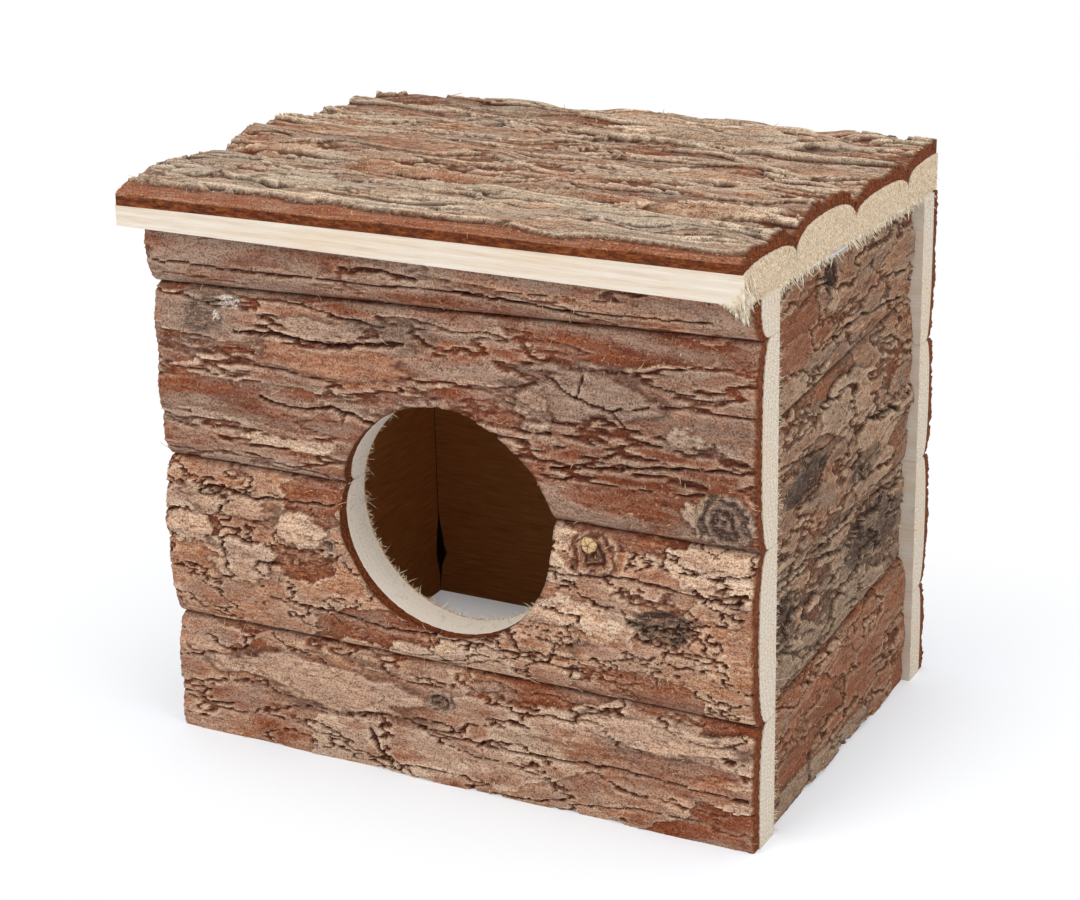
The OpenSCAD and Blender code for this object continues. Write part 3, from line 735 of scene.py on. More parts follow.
# What stands out on each slat, from the lowest up, at its place along and up the wall in mm.
FRONT_MARKS = [
    [   # the bottom slat
        patch((21.5, 21), (7, 5), lift=-0.5, raw=0.9, grey=0.0),
        patch((40, 19), (26, 6), lift=0.5, smooth=0.5, tone=0.72, grey=0.55, raw=0.0),
        patch((125, 15), (24, 4.5), smooth=0.7, lift=-0.3, tone=0.42, raw=0.25),
        patch((129, 23), (22, 3.2), lift=0.45, tone=0.8, grey=0.3, raw=0.0, smooth=0.4),
        patch((72, 15), (14, 3.5), raw=0.5, tone=0.5),
        slit([(53.4, 9.9), (56, 5), (59.8, 0.9)], 0.8, 1.2),
        slit([(1.5, 8), (9, 7.2), (15, 8.4)], 0.5, 0.8),
        slit([(66, 13), (92, 12.2), (118, 13.4), (148, 12.5)], 0.5, 0.9),
        knot((72.6, 20.8), 2.4, 1.5),
    ],
    [   # the slat below the middle of the entrance
        patch((6.9, 53.3), (7.5, 4), lift=0.5, tone=0.85, raw=0.0, smooth=0.3),
        patch((37, 57), (7, 4.5), lift=0.5, tone=0.85, raw=0.0, smooth=0.3),
        patch((22, 45), (9, 3.4), lift=0.35, tone=0.75, raw=0.0),
        patch((18, 61), (12, 3), lift=0.3, tone=0.7, grey=0.4),
        patch((128, 49.7), (8, 4), lift=-0.5, dark=0.9, grey=0.3),
        patch((98, 43), (12, 4), lift=0.3, tone=0.7),
        patch((139, 57), (9, 4), lift=0.4, tone=0.55, raw=0.0),
        knot((45.1, 54.9), 1.6),
        knot((112, 64), 5.2, 1.15, old=0.2, black=0.0),
        slit([(8, 64.5), (24, 62.8), (46, 64.2)], 0.5, 0.9),
        slit([(90, 61), (104, 58.6), (120, 60), (147, 58.5)], 0.5, 1.0),
        slit([(28, 39), (60, 36.5), (86, 37.5), (110, 35)], 0.5, 0.9),
    ],
    [   # the slat above it
        patch((14, 106), (11, 6.5), dark=0.25, grey=1.0, raw=0.0, tone=0.45),
        patch((13.5, 105.6), (6, 4), dark=0.75, pale=0.3, grey=1.0, raw=0.0),
        patch((20.2, 109.2), (2.8, 1.5), dark=0.2, pale=1.3, raw=0.0),
        patch((17, 105.6), (1.0, 1.3), dark=0.0, pale=1.2, raw=0.0),
        patch((45.5, 105.8), (11, 2.6), smooth=0.9, lift=0.35, grey=1.0, raw=0.0, tone=0.6),
        patch((64, 107.5), (12, 3.4), dark=0.5, grey=0.9, pale=0.35),
        patch((47, 98.6), (21, 3.6), smooth=0.85, lift=0.15, tone=0.5, raw=0.35, grey=0.0),
        patch((36, 77.5), (13, 1.8), smooth=0.6, lift=0.3, tone=0.95, raw=0.0, grey=0.0),
        patch((24, 73), (15, 2.2), grey=0.9, tone=0.4),
        patch((112, 100.5), (17, 5.5), smooth=0.75, lift=0.3, grey=0.9, raw=0.0, tone=0.2, dark=0.22),
        patch((98.2, 94.7), (4.5, 4.5), lift=0.3, grey=0.8, tone=0.6, raw=0.0),
        patch((126, 90), (24, 15), dark=0.25, sharp=0.5),
        patch((122, 84), (26, 9), lift=-0.3, raw=0.75, grey=0.0),
        patch((133.9, 93.8), (5, 2.4), lift=0.5, tone=0.9, raw=0.0, smooth=0.4),
        patch((137.4, 76.6), (4, 4.5), lift=0.45, tone=0.9, raw=0.0, smooth=0.4),
        patch((111, 71.9), (12, 1.8), grey=0.9, smooth=0.5),
        slit([(22, 102.6), (34, 103.2), (48, 102.4), (66, 105.2)], 0.9, 1.2),
        slit([(28, 88), (36, 86.4), (48, 87.6), (58, 86)], 0.7, 1.1),
        slit([(102, 82.2), (118, 84.6), (137.4, 87.7), (147, 88)], 0.6, 1.1),
        slit([(101, 103), (109, 99), (117, 97.4), (126, 99.5)], 0.5, 0.9),
        slit([(109, 99), (110, 104)], 0.4, 0.7),
        slit([(117, 97.4), (119.5, 93.5)], 0.4, 0.7),
        knot((142.5, 76.2), 6.9, 0.95),
    ],
    [   # the strip under the roof
        slit([(2, 117.5), (22, 117.2), (50, 118), (86, 119.3), (112, 117.6)], 0.5, 0.8),
        slit([(52, 120.8), (62, 121.6), (70, 120.6)], 0.9, 0.9),
        slit([(80, 119), (104, 118.3), (140, 119.6)], 0.4, 0.7),
    ],
]
FRONT_LOOKS = [
    {"plate": (34, 12), "layers": 2, "crust": 0.25, "flake": 0.35, "flaky": 0.0, "broken": -0.4, "hair": -0.3,
     "closed": 0.75, "step": 0.35, "furrow": (30, 9, 0.01), "raw": 0.25, "grey": 0.15, "band": 0.8,
     "grain": 1, "grit": 0.7, "relief": 0.85, "ragged": 0.5, "tone": 0.24},
    {"plate": (15, 6.5), "layers": 2, "crust": 0.25, "flake": 0.5, "flaky": 0.1, "broken": -0.2, "hair": -0.2,
     "closed": 0.5, "step": 0.35, "furrow": (18, 7, 0.015), "raw": 0.1, "grey": -0.15, "band": 0.5,
     "grain": 1, "grit": 0.7, "relief": 0.9, "ragged": 0.52, "tone": 0.17},
    {"plate": (60, 9), "layers": 2, "crust": 0.05, "flake": 0.4, "flaky": -0.1, "broken": -0.6, "hair": -0.5,
     "closed": 0.45, "step": 0.25, "furrow": (50, 10, 0.02), "raw": 0.15, "grey": 0.2, "band": 1.5,
     "grain": 2, "grit": 0.6, "relief": 0.95, "ragged": 0.52, "tone": -0.2},
    {"plate": (60, 7), "layers": 2, "crust": 0.0, "flake": 0.5, "flaky": -0.1, "broken": -0.7, "hair": -0.5,
     "closed": 0.5, "step": 0.15, "furrow": (60, 9, 0.015), "raw": -0.05, "grey": 0.2, "band": 1.2,
     "grain": 2, "grit": 0.6, "relief": 0.85, "ragged": 0.52, "tone": -0.08},
]
# The left and right ends of the front and back walls, in mm.
WALL_LEFT, WALL_RIGHT = -72.75, 77.25
# A panel is laid out in mm: the wood's thickness at the seams (edge) and on each slat's crown,
# the height of the bark's ridges, its origin and directions, and how high the seams lie at its
# start (left) and at its far end (right). torn and burnt say how the saw left that end's bark.
front = {
    "name": "front", "length": 150, "edge": 4.2, "ridge": 0.9, "wood": [7.9, 8.9, 8.3, 9.4],
    "origin": (WALL_LEFT, ROOM_FRONT, 0), "along": (1, 0, 0), "across": (0, 0, 1), "outward": (0, -1, 0),
    "left": [-9, 29, 69, 111.3, 134.3], "right": [-9, 29.5, 69.5, 116.3, 134.3],
    "bottom": 0, "top": (125.4, 125.4),
}
front["bark"] = scaly_bark(
    "conifer_bark_front", "X",
    [(0.08, "#783f26"), (0.3, "#9d6040"), (0.5, "#bb8764"), (0.72, "#d4aa8b"), (0.95, "#ead0b6")],
    ("#6e361e", "#a65c36"), "#b09886", "#ab8c7b", "#4a2212",
)
front_barks = []
for i in range(4):
    sawn_softwood(front, i)
    front_barks.append(weld_bark(
        f"front_bark_layer_{i + 1}", front, i, FRONT_LOOKS[i], FRONT_MARKS[i], 100 + 10 * i,
        cell=0.4, hole=ENTRANCE if i in (1, 2) else None,
    ))


# ---------------------------------------------------------------------------
# Back wall: four half-round slats like the front's, of its own widths and with no opening,
# edge-glued and nailed to the ends of the side walls.

BACK_LOOK = {"plate": (20, 5), "layers": 2, "crust": 0.1, "flake": 0.5, "flaky": 0.0, "broken": 0.0,
             "hair": 0.0, "closed": 0.3, "step": 0.35, "furrow": (26, 5, 0.02), "raw": 0.0,
             "grey": 0.0, "band": 0.6, "grain": 1.2, "grit": 1, "relief": 0.85, "ragged": 0.6, "tone": 0}
back = {
    "name": "back", "length": 150, "edge": 4.0, "ridge": 0.9, "wood": [6.6, 7.4, 7.2, 6.7],
    "origin": (WALL_RIGHT, ROOM_BACK, 0), "along": (-1, 0, 0), "across": (0, 0, 1), "outward": (0, 1, 0),
    "left": [-9, 24, 58, 87.5, 134.3], "right": [-9, 24, 58, 87.5, 134.3],
    "bottom": 0, "top": (123.05, 123.05), "bark": front["bark"],
}
for i in range(4):
    sawn_softwood(back, i)
    weld_bark(f"back_bark_layer_{i + 1}", back, i, BACK_LOOK, [], 200 + 10 * i, cell=0.6)


# ---------------------------------------------------------------------------
# Side walls: four slats each, 86 mm long, standing between the front and the back. Their
# seams climb towards the back. The bark is greyer, with a rust-red stretch low down.

SIDE_LOOK = {"plate": (26, 10), "layers": 2, "crust": 0.2, "flake": 0.4, "flaky": 0.0, "broken": -0.1,
             "hair": 0.2, "closed": 0.1, "step": 0.25, "furrow": (26, 9, 0.05), "raw": 0.1, "grey": 0.1,
             "band": 0.6, "grain": 1, "grit": 0.8, "relief": 0.9, "ragged": 0.52, "tone": 0.0}
SIDE_LOOKS = [
    dict(SIDE_LOOK, crust=0.1, broken=-0.2, hair=0.0, step=0.3, furrow=(24, 9, 0.03), raw=0.4, grey=-0.1,
         band=0.7, grit=0.7, relief=0.85),
    dict(SIDE_LOOK, plate=(18, 5), crust=0.1, flake=0.5, flaky=0.1, broken=0.0, hair=0.1, closed=-0.2,
         step=0.4, furrow=(20, 6, 0.09), raw=-0.1, grey=0.3, band=0.5, grain=1.5, relief=1.0, tone=-0.1),
    dict(SIDE_LOOK, furrow=(24, 9, 0.05), tone=0.02),
    dict(SIDE_LOOK, plate=(28, 10), grey=0.15, band=0.7),
]
RIGHT_MARKS = [
    [patch((55, 13), (32, 8), lift=-0.3, raw=0.8, grey=0.0),
     patch((30, 3), (30, 3), lift=0.3, tone=0.6, grey=0.8, raw=0.0)],
    [patch((39.7, 34.8), (34, 4), grey=1.0, raw=0.0, tone=0.3),
     patch((66, 48), (18, 7), dark=0.8, raw=0.0),
     patch((10, 46), (7, 6), dark=0.75, raw=0.0),
     slit([(4, 56), (40, 55), (84, 56.2)], 0.5, 1.0)],
    [patch((20, 76), (13, 5), dark=0.85, raw=0.0),
     patch((56, 68), (9, 4), dark=0.7, raw=0.0),
     slit([(60, 77), (72, 76.6), (77, 74)], 1.0, 1.6, dark=0.8),
     slit([(3, 84), (30, 80), (52, 82)], 0.5, 1.0)],
    [patch((14, 112), (20, 9), raw=0.75, grey=0.0, lift=-0.2),
     patch((3, 99), (2.5, 7), dark=0.8, raw=0.0, lift=-0.5),
     # A small pit, nearly black: painted shade.
     patch((33, 118.5), (4.0, 3.2), dark=1.0, raw=0.0, grey=0.0, tone=0.0, lift=-0.8),
     patch((33.5, 113.2), (2.6, 3.0), lift=0.7, smooth=0.9, raw=0.4, tone=1.0, grey=0.0, dark=0.0),
     slit([(30, 103), (52, 104.5), (80, 101)], 0.6, 1.1)],
]
# How high the seams lie at the side walls' front and back ends, in mm.
SIDE_SEAMS_FRONT = [-9, 27, 58, 93.3, 134.3]
SIDE_SEAMS_BACK = [-9, 33, 58, 99.3, 134.3]
side_bark = scaly_bark(
    "conifer_bark_sides", "Y",
    [(0.08, "#643a22"), (0.3, "#8b5c40"), (0.5, "#a47a5b"), (0.72, "#b4957a"), (0.95, "#cdb398")],
    ("#74422b", "#a56a48"), "#958370", "#8a7464", "#321a0f",
)
right = {
    "name": "right", "length": 86, "edge": 9.6, "ridge": 0.9, "wood": [11.5, 10.3, 11.4, 11],
    "origin": (ROOM_RIGHT, ROOM_FRONT, 0), "along": (0, 1, 0), "across": (0, 0, 1), "outward": (1, 0, 0),
    "left": SIDE_SEAMS_FRONT, "right": SIDE_SEAMS_BACK,
    "bottom": 0, "top": (125.25, 123.25), "bark": side_bark,
}
left = dict(right, name="left", origin=(ROOM_LEFT, ROOM_BACK, 0), along=(0, -1, 0), outward=(-1, 0, 0),
            left=SIDE_SEAMS_BACK, right=SIDE_SEAMS_FRONT, top=(123.25, 125.25))
right_barks = []
for i in range(4):
    sawn_softwood(right, i)
    sawn_softwood(left, i)
    right_barks.append(weld_bark(
        f"right_bark_layer_{i + 1}", right, i, SIDE_LOOKS[i], RIGHT_MARKS[i], 300 + 10 * i, cell=0.42,
    ))
    weld_bark(f"left_bark_layer_{i + 1}", left, i, SIDE_LOOKS[i], [], 400 + 10 * i, cell=0.6)


# ---------------------------------------------------------------------------
# Roof: four slats laid left to right, with their seams at a slant to the sawn front edge. It
# falls 2 mm to the back. The bark lies in long overlapping flakes, beige to olive grey.

# The roof falls 2 mm over the room's 86 mm. Its front edge lies 16 mm ahead of the room, and
# its underside 125.3 mm up at the room's front.
FALL = math.atan(2 / 86)
AHEAD = 16
ROOF_FRONT = ROOM_FRONT - AHEAD
ROOF_LEFT, ROOF_RIGHT = -77.25, 76.25
UNDERSIDE = 125.3
ROOF_LOOK = {"plate": (70, 5), "layers": 3, "crust": 0.1, "flake": 0.5, "flaky": 0.1, "broken": 0.2,
             "hair": 0.0, "closed": -0.6, "step": 0.45, "furrow": (90, 8, 0.03), "raw": 0.0, "grey": 0.1,
             "band": 0.8, "grain": 6, "grit": 0.25, "relief": 0.8, "ragged": 0.5, "tone": 0.0}
ROOF_LOOKS = [
    dict(ROOF_LOOK, plate=(75, 5.5), crust=0.2, furrow=(90, 8, 0.02), raw=-0.2, grey=0.25, band=0.7),
    dict(ROOF_LOOK, plate=(75, 5), raw=0.05, grey=0.05),
    ROOF_LOOK,
    ROOF_LOOK,
]
ROOF_MARKS = [
    [patch((9, 16), (9, 6), grey=1.0, tone=0.8, raw=0.0, lift=0.3),
     patch((45, 17), (16, 4), grey=0.9, tone=0.7, raw=0.0, lift=0.2),
     patch((128, 14), (20, 3), grey=0.9, tone=0.9, raw=0.0, lift=0.2),
     patch((62, 34), (30, 2.0), raw=0.8, grey=0.0),
     peeled(5.0, 2.6, ROOF_RIGHT - ROOF_LEFT)],
    [patch((100, 40), (30, 1.8), raw=0.8),
     patch((120, 62), (24, 1.6), raw=0.7)],
    [],
    [],
]
roof = {
    "name": "roof", "length": ROOF_RIGHT - ROOF_LEFT, "edge": 3.6, "ridge": 1.4, "wood": [8, 9.7, 7.7, 8.5],
    "origin": (ROOF_LEFT, ROOM_FRONT - AHEAD * math.cos(FALL), UNDERSIDE + AHEAD * math.sin(FALL)),
    "along": (1, 0, 0), "across": (0, math.cos(FALL), -math.sin(FALL)),
    "outward": (0, math.sin(FALL), math.cos(FALL)),
    "left": [-0.5, 43, 76.5, 109.5, 130], "right": [-2.5, 27, 60.5, 93.5, 122],
    "bottom": -0.18, "top": (112.8, 112.8), "torn": 1.8, "burnt": 0.8,
}
roof["bark"] = scaly_bark(
    "conifer_bark_roof", "X",
    [(0.08, "#6e3c20"), (0.3, "#996241"), (0.5, "#b48a68"), (0.72, "#c9ae92"), (0.95, "#e6d4bc")],
    ("#7e442c", "#b0704e"), "#a69c8c", "#a08c78", "#3a1c0e",
)
roof_barks = []
for i in range(4):
    sawn_softwood(roof, i, ends=("#9c7d5a", "#c7ab8a", "#e3d0b3"))
    roof_barks.append(weld_bark(
        f"roof_bark_layer_{i + 1}", roof, i, ROOF_LOOKS[i], ROOF_MARKS[i], 500 + 10 * i, cell=0.42,
    ))


# ---------------------------------------------------------------------------
# Torn fibres: the saws left a pale fuzz of single wood fibres, 0.5 to 5 mm long, along the
# entrance, the ends of the walls and the roof's end, and shreds of bast on the bark.

def torn_fibre(name, pale, dark):
    """Loose wood fibre: thin, matt and nearly white against the dark bark behind it."""
    fibre, tree, place = material(name)
    # Paler and darker by turns, about 1 mm long.
    patchy = add(tree, "TexNoise", {"Vector": place, "Scale": 0.9 / MM, "Detail": 2.0})
    tone = add(tree, "ValToRGB", {"Fac": patchy}, ramp=[(0.35, dark), (0.6, pale)])
    shader = add(tree, "BsdfPrincipled", {"Base Color": tone, "Roughness": 0.75})
    add(tree, "OutputMaterial", {0: shader})
    return fibre


pale_fibre = torn_fibre("torn_wood_fibre", "#eee2cd", "#d2bd9c")
bast_fibre = torn_fibre("torn_bast_fibre", "#dcc08f", "#a9804f")


def fuzz(name, roots, leans, lengths, widths, curl, finish, rng):
    """One mesh of many pointed, three-sided fibres, each from its root along its lean and bent
    aside by curl times its length."""
    rings = 4
    points, faces = [], []
    for root, lean, length, width in zip(roots, leans, lengths, widths):
        lean = lean / np.linalg.norm(lean)
        side = np.cross(lean, rng.normal(size=3))
        side = side / np.linalg.norm(side)
        other = np.cross(lean, side)
        first = len(points)
        for k in range(rings):
            share = k / rings
            spine = root + lean * length * share + side * length * curl * share ** 2
            thick = width / 2 * (1 - 0.6 * share)
            for turn in (0, 2 * math.pi / 3, 4 * math.pi / 3):
                points.append(spine + thick * (math.cos(turn) * side + math.sin(turn) * other))
        points.append(root + lean * length + side * length * curl)
        faces.append((first + 2, first + 1, first))
        for k in range(rings - 1):
            for a, b in ((0, 1), (1, 2), (2, 0)):
                faces.append((first + 3 * k + a, first + 3 * k + b,
                              first + 3 * k + 3 + b, first + 3 * k + 3 + a))
        top = first + 3 * (rings - 1)
        faces += [(top, top + 1, top + 3), (top + 1, top + 2, top + 3), (top + 2, top, top + 3)]
    # Fibres stop at the ground.
    points = np.maximum(points, (-999, -999, 0.02))
    mesh = bpy.data.meshes.new(name)
    mesh.from_pydata((points * MM).tolist(), [], faces)
    mesh.shade_smooth()
    fibres = place_piece(name, mesh, finish)
    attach(fibres, "root")


def scattered(rng, count, low, high):
    """count points spread evenly in the box from low to high."""
    return rng.uniform(low, high, (count, 3))


rng = np.random.default_rng(7)
# Round the entrance, mostly on the room side and towards the bottom.
count = 700
turn = rng.uniform(0, 2 * math.pi, count)
turn = np.where(rng.random(count) < 0.5, rng.uniform(math.pi * 0.85, math.pi * 1.75, count), turn)
rim = np.stack([np.cos(turn), 0 * turn, np.sin(turn)], -1)
behind = rng.random(count) < 0.7
depth = np.where(behind, rng.uniform(-0.7, 0, count), rng.uniform(-7.5, -0.5, count))
roots = rim * (ENTRANCE[1] + 0.02) + [WALL_LEFT + ENTRANCE[0][0], 0, ENTRANCE[0][1]]
roots[:, 1] = ROOM_FRONT + depth
leans = -rim * rng.uniform(0.2, 1.0, (count, 1)) + rng.normal(0, 0.5, (count, 3)) + [0, 0.35, 0]
fuzz("entrance_fibres", roots, leans, rng.gamma(3.0, 0.36, count), rng.uniform(0.1, 0.24, count),
     0.35, pale_fibre, rng)

# Along the edges of the front wall's right end, and the last 120 along the back wall's.
count = 420
lowest = (WALL_RIGHT - 0.05, ROOM_FRONT - 0.4, 0.3)
roots = scattered(rng, count, lowest, (WALL_RIGHT, ROOM_FRONT + 0.1, 124.5))
roots[300:, 1] = ROOM_BACK + rng.uniform(-0.1, 0.4, count - 300)
leans = rng.normal(0, 0.45, (count, 3)) + [0.5, 0.6, -0.1]
leans[300:, 1] *= -1
fuzz("wall_end_fibres", roots, leans, rng.gamma(3.0, 0.26, count), rng.uniform(0.1, 0.2, count),
     0.4, pale_fibre, rng)

# Under the roof's right end, where the blade came out.
count = 900
roots = scattered(rng, count, (ROOF_RIGHT - 0.35, ROOF_FRONT + 0.3, 0), (ROOF_RIGHT, -ROOF_FRONT - 0.3, 0))
roots[:, 2] = UNDERSIDE + 0.05 - (roots[:, 1] - ROOM_FRONT) * math.tan(FALL)
leans = rng.normal(0, 0.25, (count, 3)) + [0.3, 0, -1.0]
fuzz("roof_end_fibres", roots, leans, rng.gamma(3.0, 0.42, count), rng.uniform(0.2, 0.6, count),
     0.2, pale_fibre, rng)

# A torn wedge of splinters hangs from the roof's front right corner.
count = 40
share = np.linspace(0, 1, count)
roots = np.stack([5.4 * (share - 1) - 0.25, 0.2 + 0.9 * rng.random(count), np.full(count, 0.6)], -1)
roots += [ROOF_RIGHT, ROOF_FRONT, UNDERSIDE]
leans = np.stack([0.1 + rng.normal(0, 0.07, count), rng.normal(0, 0.08, count), np.full(count, -1.0)], -1)
fuzz("roof_splinters", roots, leans, 0.6 + 4.4 * share ** 1.3 * rng.uniform(0.7, 1.0, count),
     rng.uniform(0.7, 1.1, count), 0.06, pale_fibre, rng)

# The same tear runs up the corner, and the last 100 of its fibres fan out over the end grain.
rng = np.random.default_rng(17)
count = 260
share = rng.random(count)
roots = np.stack([3.7 * (share - 1), 0.15 + 0 * share, 0.7 + 5.5 * rng.random(count) * share ** 2], -1)
roots[160:, 0] = 0
roots[160:, 1] = 0.1 + 5 * rng.random(100) ** 1.5
roots += [ROOF_RIGHT - 0.05, ROOF_FRONT, UNDERSIDE]
leans = np.stack([0.12 + 0.35 * share, -0.05 + rng.normal(0, 0.1, count), np.full(count, -1.0)], -1)
leans += rng.normal(0, 0.12, (count, 3))
fuzz("roof_corner_tear", roots, leans, (1.2 + 2.6 * share) * rng.uniform(0.6, 1.0, count),
     rng.uniform(0.3, 0.7, count), 0.12, pale_fibre, rng)

# Short cut fibres stand all over the roof's right end.
count = 2600
v = rng.uniform(0.4, 112.2, count)
slat = np.searchsorted(roof["right"][1:4], v)
seams = np.array(roof["right"])
across = (v - seams[slat]) / (seams[slat + 1] - seams[slat])
thick = rounded(across, roof["edge"], np.array(roof["wood"])[slat])
height = UNDERSIDE + 0.15 - (v - AHEAD) * math.tan(FALL) + rng.random(count) * thick
roots = np.stack([0 * v + ROOF_RIGHT - 0.05, ROOF_FRONT + v, height], -1)
leans = rng.normal(0, 0.35, (count, 3)) + [0.45, 0, -1.0]
fuzz("roof_end_grain_fibres", roots, leans, rng.gamma(3.0, 0.2, count), rng.uniform(0.12, 0.3, count),
     0.3, pale_fibre, rng)


def shreds(name, barks, count, spots, length, seed):
    """Shreds of bast lying on some barks: near the spots, or anywhere where there are none."""
    rng = np.random.default_rng(seed)
    places, normals = [], []
    for bark in barks:
        mesh = bark.data
        at = np.empty(len(mesh.vertices) * 3)
        mesh.vertices.foreach_get("co", at)
        up = np.empty(len(mesh.vertices) * 3)
        mesh.vertices.foreach_get("normal", up)
        places.append(at.reshape(-1, 3) / MM)
        normals.append(up.reshape(-1, 3))
    places, normals = np.concatenate(places), np.concatenate(normals)
    outward = normals @ normals.mean(0) > 0.3
    places, normals = places[outward], normals[outward]
    chance = np.full(len(places), 0.15)
    for x, z, reach in spots:
        chance += np.exp(-(np.hypot(places[:, 0] - x, places[:, 2] - z) / reach) ** 2)
    picked = rng.choice(len(places), count, replace=False, p=chance / chance.sum())
    lean = rng.normal(size=(count, 3))
    lean -= normals[picked] * (np.sum(lean * normals[picked], -1, keepdims=True) - 0.1)
    fuzz(name, places[picked], lean, np.minimum(rng.gamma(3.0, length / 3, count), 2.2 * length),
         rng.uniform(0.1, 0.28, count), 0.45, bast_fibre, rng)


shreds("front_bast_shreds", front_barks, 700,
       [(18, 6, 7), (-54, 6, 4), (30, 14, 6), (37, 62, 6), (-2, 32, 8), (55, 42, 7)], 1.5, 11)
shreds("side_bast_shreds", right_barks, 260, [], 1.0, 12)
shreds("roof_bast_shreds", roof_barks, 420, [], 1.3, 13)


# ---------------------------------------------------------------------------
# A pruned twig in the front wall: a cream disc 4 mm across, cracked like a star as it dried.
# It grew out of the log, was cut off above the bark, and sits in a low collar of bark.

def twig_end():
    """Dry cut twig: cream end grain with three growth rings, its shrinkage cracks darkened with painted
    shade.
    """
    wood, tree, place = material("twig_end_grain")
    split = add(tree, "Attribute", attribute_name="split").outputs["Fac"]
    # Pores 0.4 mm wide. Real ones are a tenth as wide and wouldn't show.
    pores = add(tree, "TexNoise", {"Vector": place, "Scale": 2.6 / MM, "Detail": 3.0})
    tone = add(tree, "ValToRGB", {"Fac": pores},
               ramp=[(0.3, "#a2774a"), (0.5, "#cba877"), (0.7, "#dfc79c")])
    # Painted shade darkens the shrinkage cracks and the middle where they meet; the rim and the stub's sides
    # are the bark's own dark colour.
    cracked = add(tree, "MixRGB", {"Fac": split, "Color1": tone, "Color2": "#2e190e"})
    bump = add(tree, "Bump", {"Height": pores, "Strength": 0.4, "Distance": 0.1 * MM})
    shader = add(tree, "BsdfPrincipled", {"Base Color": cracked, "Roughness": 0.8, "Normal": bump})
    add(tree, "OutputMaterial", {0: shader})
    return wood


# Where its middle is, its radius and how far out its rim stands, in mm.
TWIG_AT = (37.85, 65.8)
TWIG_R = 1.9
TWIG_FACE = -50.85
spokes, hoops = 60, 12
points, splits = [], []
for k in range(1, hoops + 1):
    for j in range(spokes):
        turn = 2 * math.pi * j / spokes
        share = k / hoops
        r = TWIG_R * share * (1 + 0.05 * math.sin(3 * turn + 1) + 0.03 * math.sin(7 * turn))
        star = abs(math.sin(2.5 * turn + 0.6 + 0.5 * share))
        split = 1 if star * share < 0.09 and share < 0.86 else 0
        lift = 0.55 * (1 - share ** 4) + 0.05 * math.sin(share * 18) - 0.3 * split
        points.append((TWIG_AT[0] + r * math.cos(turn), TWIG_FACE - lift, TWIG_AT[1] + r * math.sin(turn)))
        splits.append(max(split, 0.8 if share > 0.93 else 0))
middle_of_twig = len(points)
points.append((TWIG_AT[0], TWIG_FACE - 0.3, TWIG_AT[1]))
splits.append(1)
# The stub goes 3 mm down into the bark.
for x, y, z in points[middle_of_twig - spokes:middle_of_twig]:
    points.append((x, y + 3, z))
    splits.append(0.8)
stub = middle_of_twig + 1
faces = []
for j in range(spokes):
    beside = (j + 1) % spokes
    faces.append((middle_of_twig, beside, j))
    for k in range(0, middle_of_twig - spokes, spokes):
        faces.append((k + j, k + beside, k + beside + spokes, k + j + spokes))
    outermost = middle_of_twig - spokes
    faces.append((outermost + j, outermost + beside, stub + beside, stub + j))
faces.append(tuple(stub + j for j in range(spokes)))
mesh = bpy.data.meshes.new("twig_stub")
mesh.from_pydata((np.array(points) * MM).tolist(), [], [face[::-1] for face in faces])
mesh.attributes.new("split", "FLOAT", "POINT").data.foreach_set("value", splits)
mesh.shade_smooth()
mesh.set_sharp_from_angle(angle=math.radians(50))
twig = place_piece("twig_stub", mesh, twig_end())
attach(twig, "root")


# ---------------------------------------------------------------------------
# Brads: eight nails of steel wire each through the front, the back and the roof, driven into
# the side walls. Their heads lie under the bark, so none shows from outside.

def drawn_steel():
    """Bright drawn steel wire: grey and fairly glossy, with duller marks where it was drawn."""
    steel, tree, place = material("drawn_steel")
    # Marks of the drawing die 0.3 mm wide, coarser than real ones, so that they show.
    lines = add(tree, "TexNoise", {"Vector": place, "Scale": 3 / MM, "Detail": 2.0})
    shine = add(tree, "MapRange", {"Value": lines, "To Min": 0.3, "To Max": 0.5})
    tone = add(tree, "MixRGB", {"Fac": lines, "Color1": "#8e9194", "Color2": "#b4b7ba"})
    shader = add(tree, "BsdfPrincipled", {"Base Color": tone, "Metallic": 1.0, "Roughness": shine})
    add(tree, "OutputMaterial", {0: shader})
    return steel


steel = drawn_steel()
for name in ("front_brads", "back_brads", "roof_brads"):
    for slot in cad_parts[name].material_slots:
        slot.material = steel


# ---------------------------------------------------------------------------
# Glue: a bead of hot-melt glue on each side, run into the corner between the roof and the
# side wall's bark, where it set glossy and nearly clear.

def hot_glue():
    """Set hot-melt glue: milky, see-through at its edges, and glossy, so that it glints."""
    glue, tree, place = material("hot_melt_glue")
    # Milky clouds 2 mm wide.
    cloud = add(tree, "TexNoise", {"Vector": place, "Scale": 0.5 / MM, "Detail": 3.0})
    tone = add(tree, "MixRGB", {"Fac": cloud, "Color1": "#c9ccd0", "Color2": "#eef1f4"})
    bump = add(tree, "Bump", {"Height": cloud, "Strength": 0.3, "Distance": 0.2 * MM})
    shader = add(tree, "BsdfPrincipled", {
        "Base Color": tone, "Roughness": 0.15, "IOR": 1.48,
        "Transmission Weight": 0.4, "Normal": bump,
    })
    add(tree, "OutputMaterial", {0: shader})
    return glue


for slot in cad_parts["glue_beads"].material_slots:
    slot.material = hot_glue()


# ---------------------------------------------------------------------------
# The stage: a white sheet, three large soft lamps above it and a plain pale world, with the
# camera at the place from which the house was photographed.

def seen_directly(tree):
    """1 where the camera sees the surface, straight or in a gloss or through the glue, else 0."""
    ray = add(tree, "LightPath").outputs
    seen = add(tree, "Math", {0: ray["Is Camera Ray"], 1: ray["Is Glossy Ray"]}, operation="MAXIMUM")
    return add(tree, "Math", {0: seen, 1: ray["Is Transmission Ray"]}, operation="MAXIMUM")


floor_white, tree, place = material("white_paper")
seen = seen_directly(tree)
paper = add(tree, "BsdfDiffuse", {"Color": "#dcdfe3"})
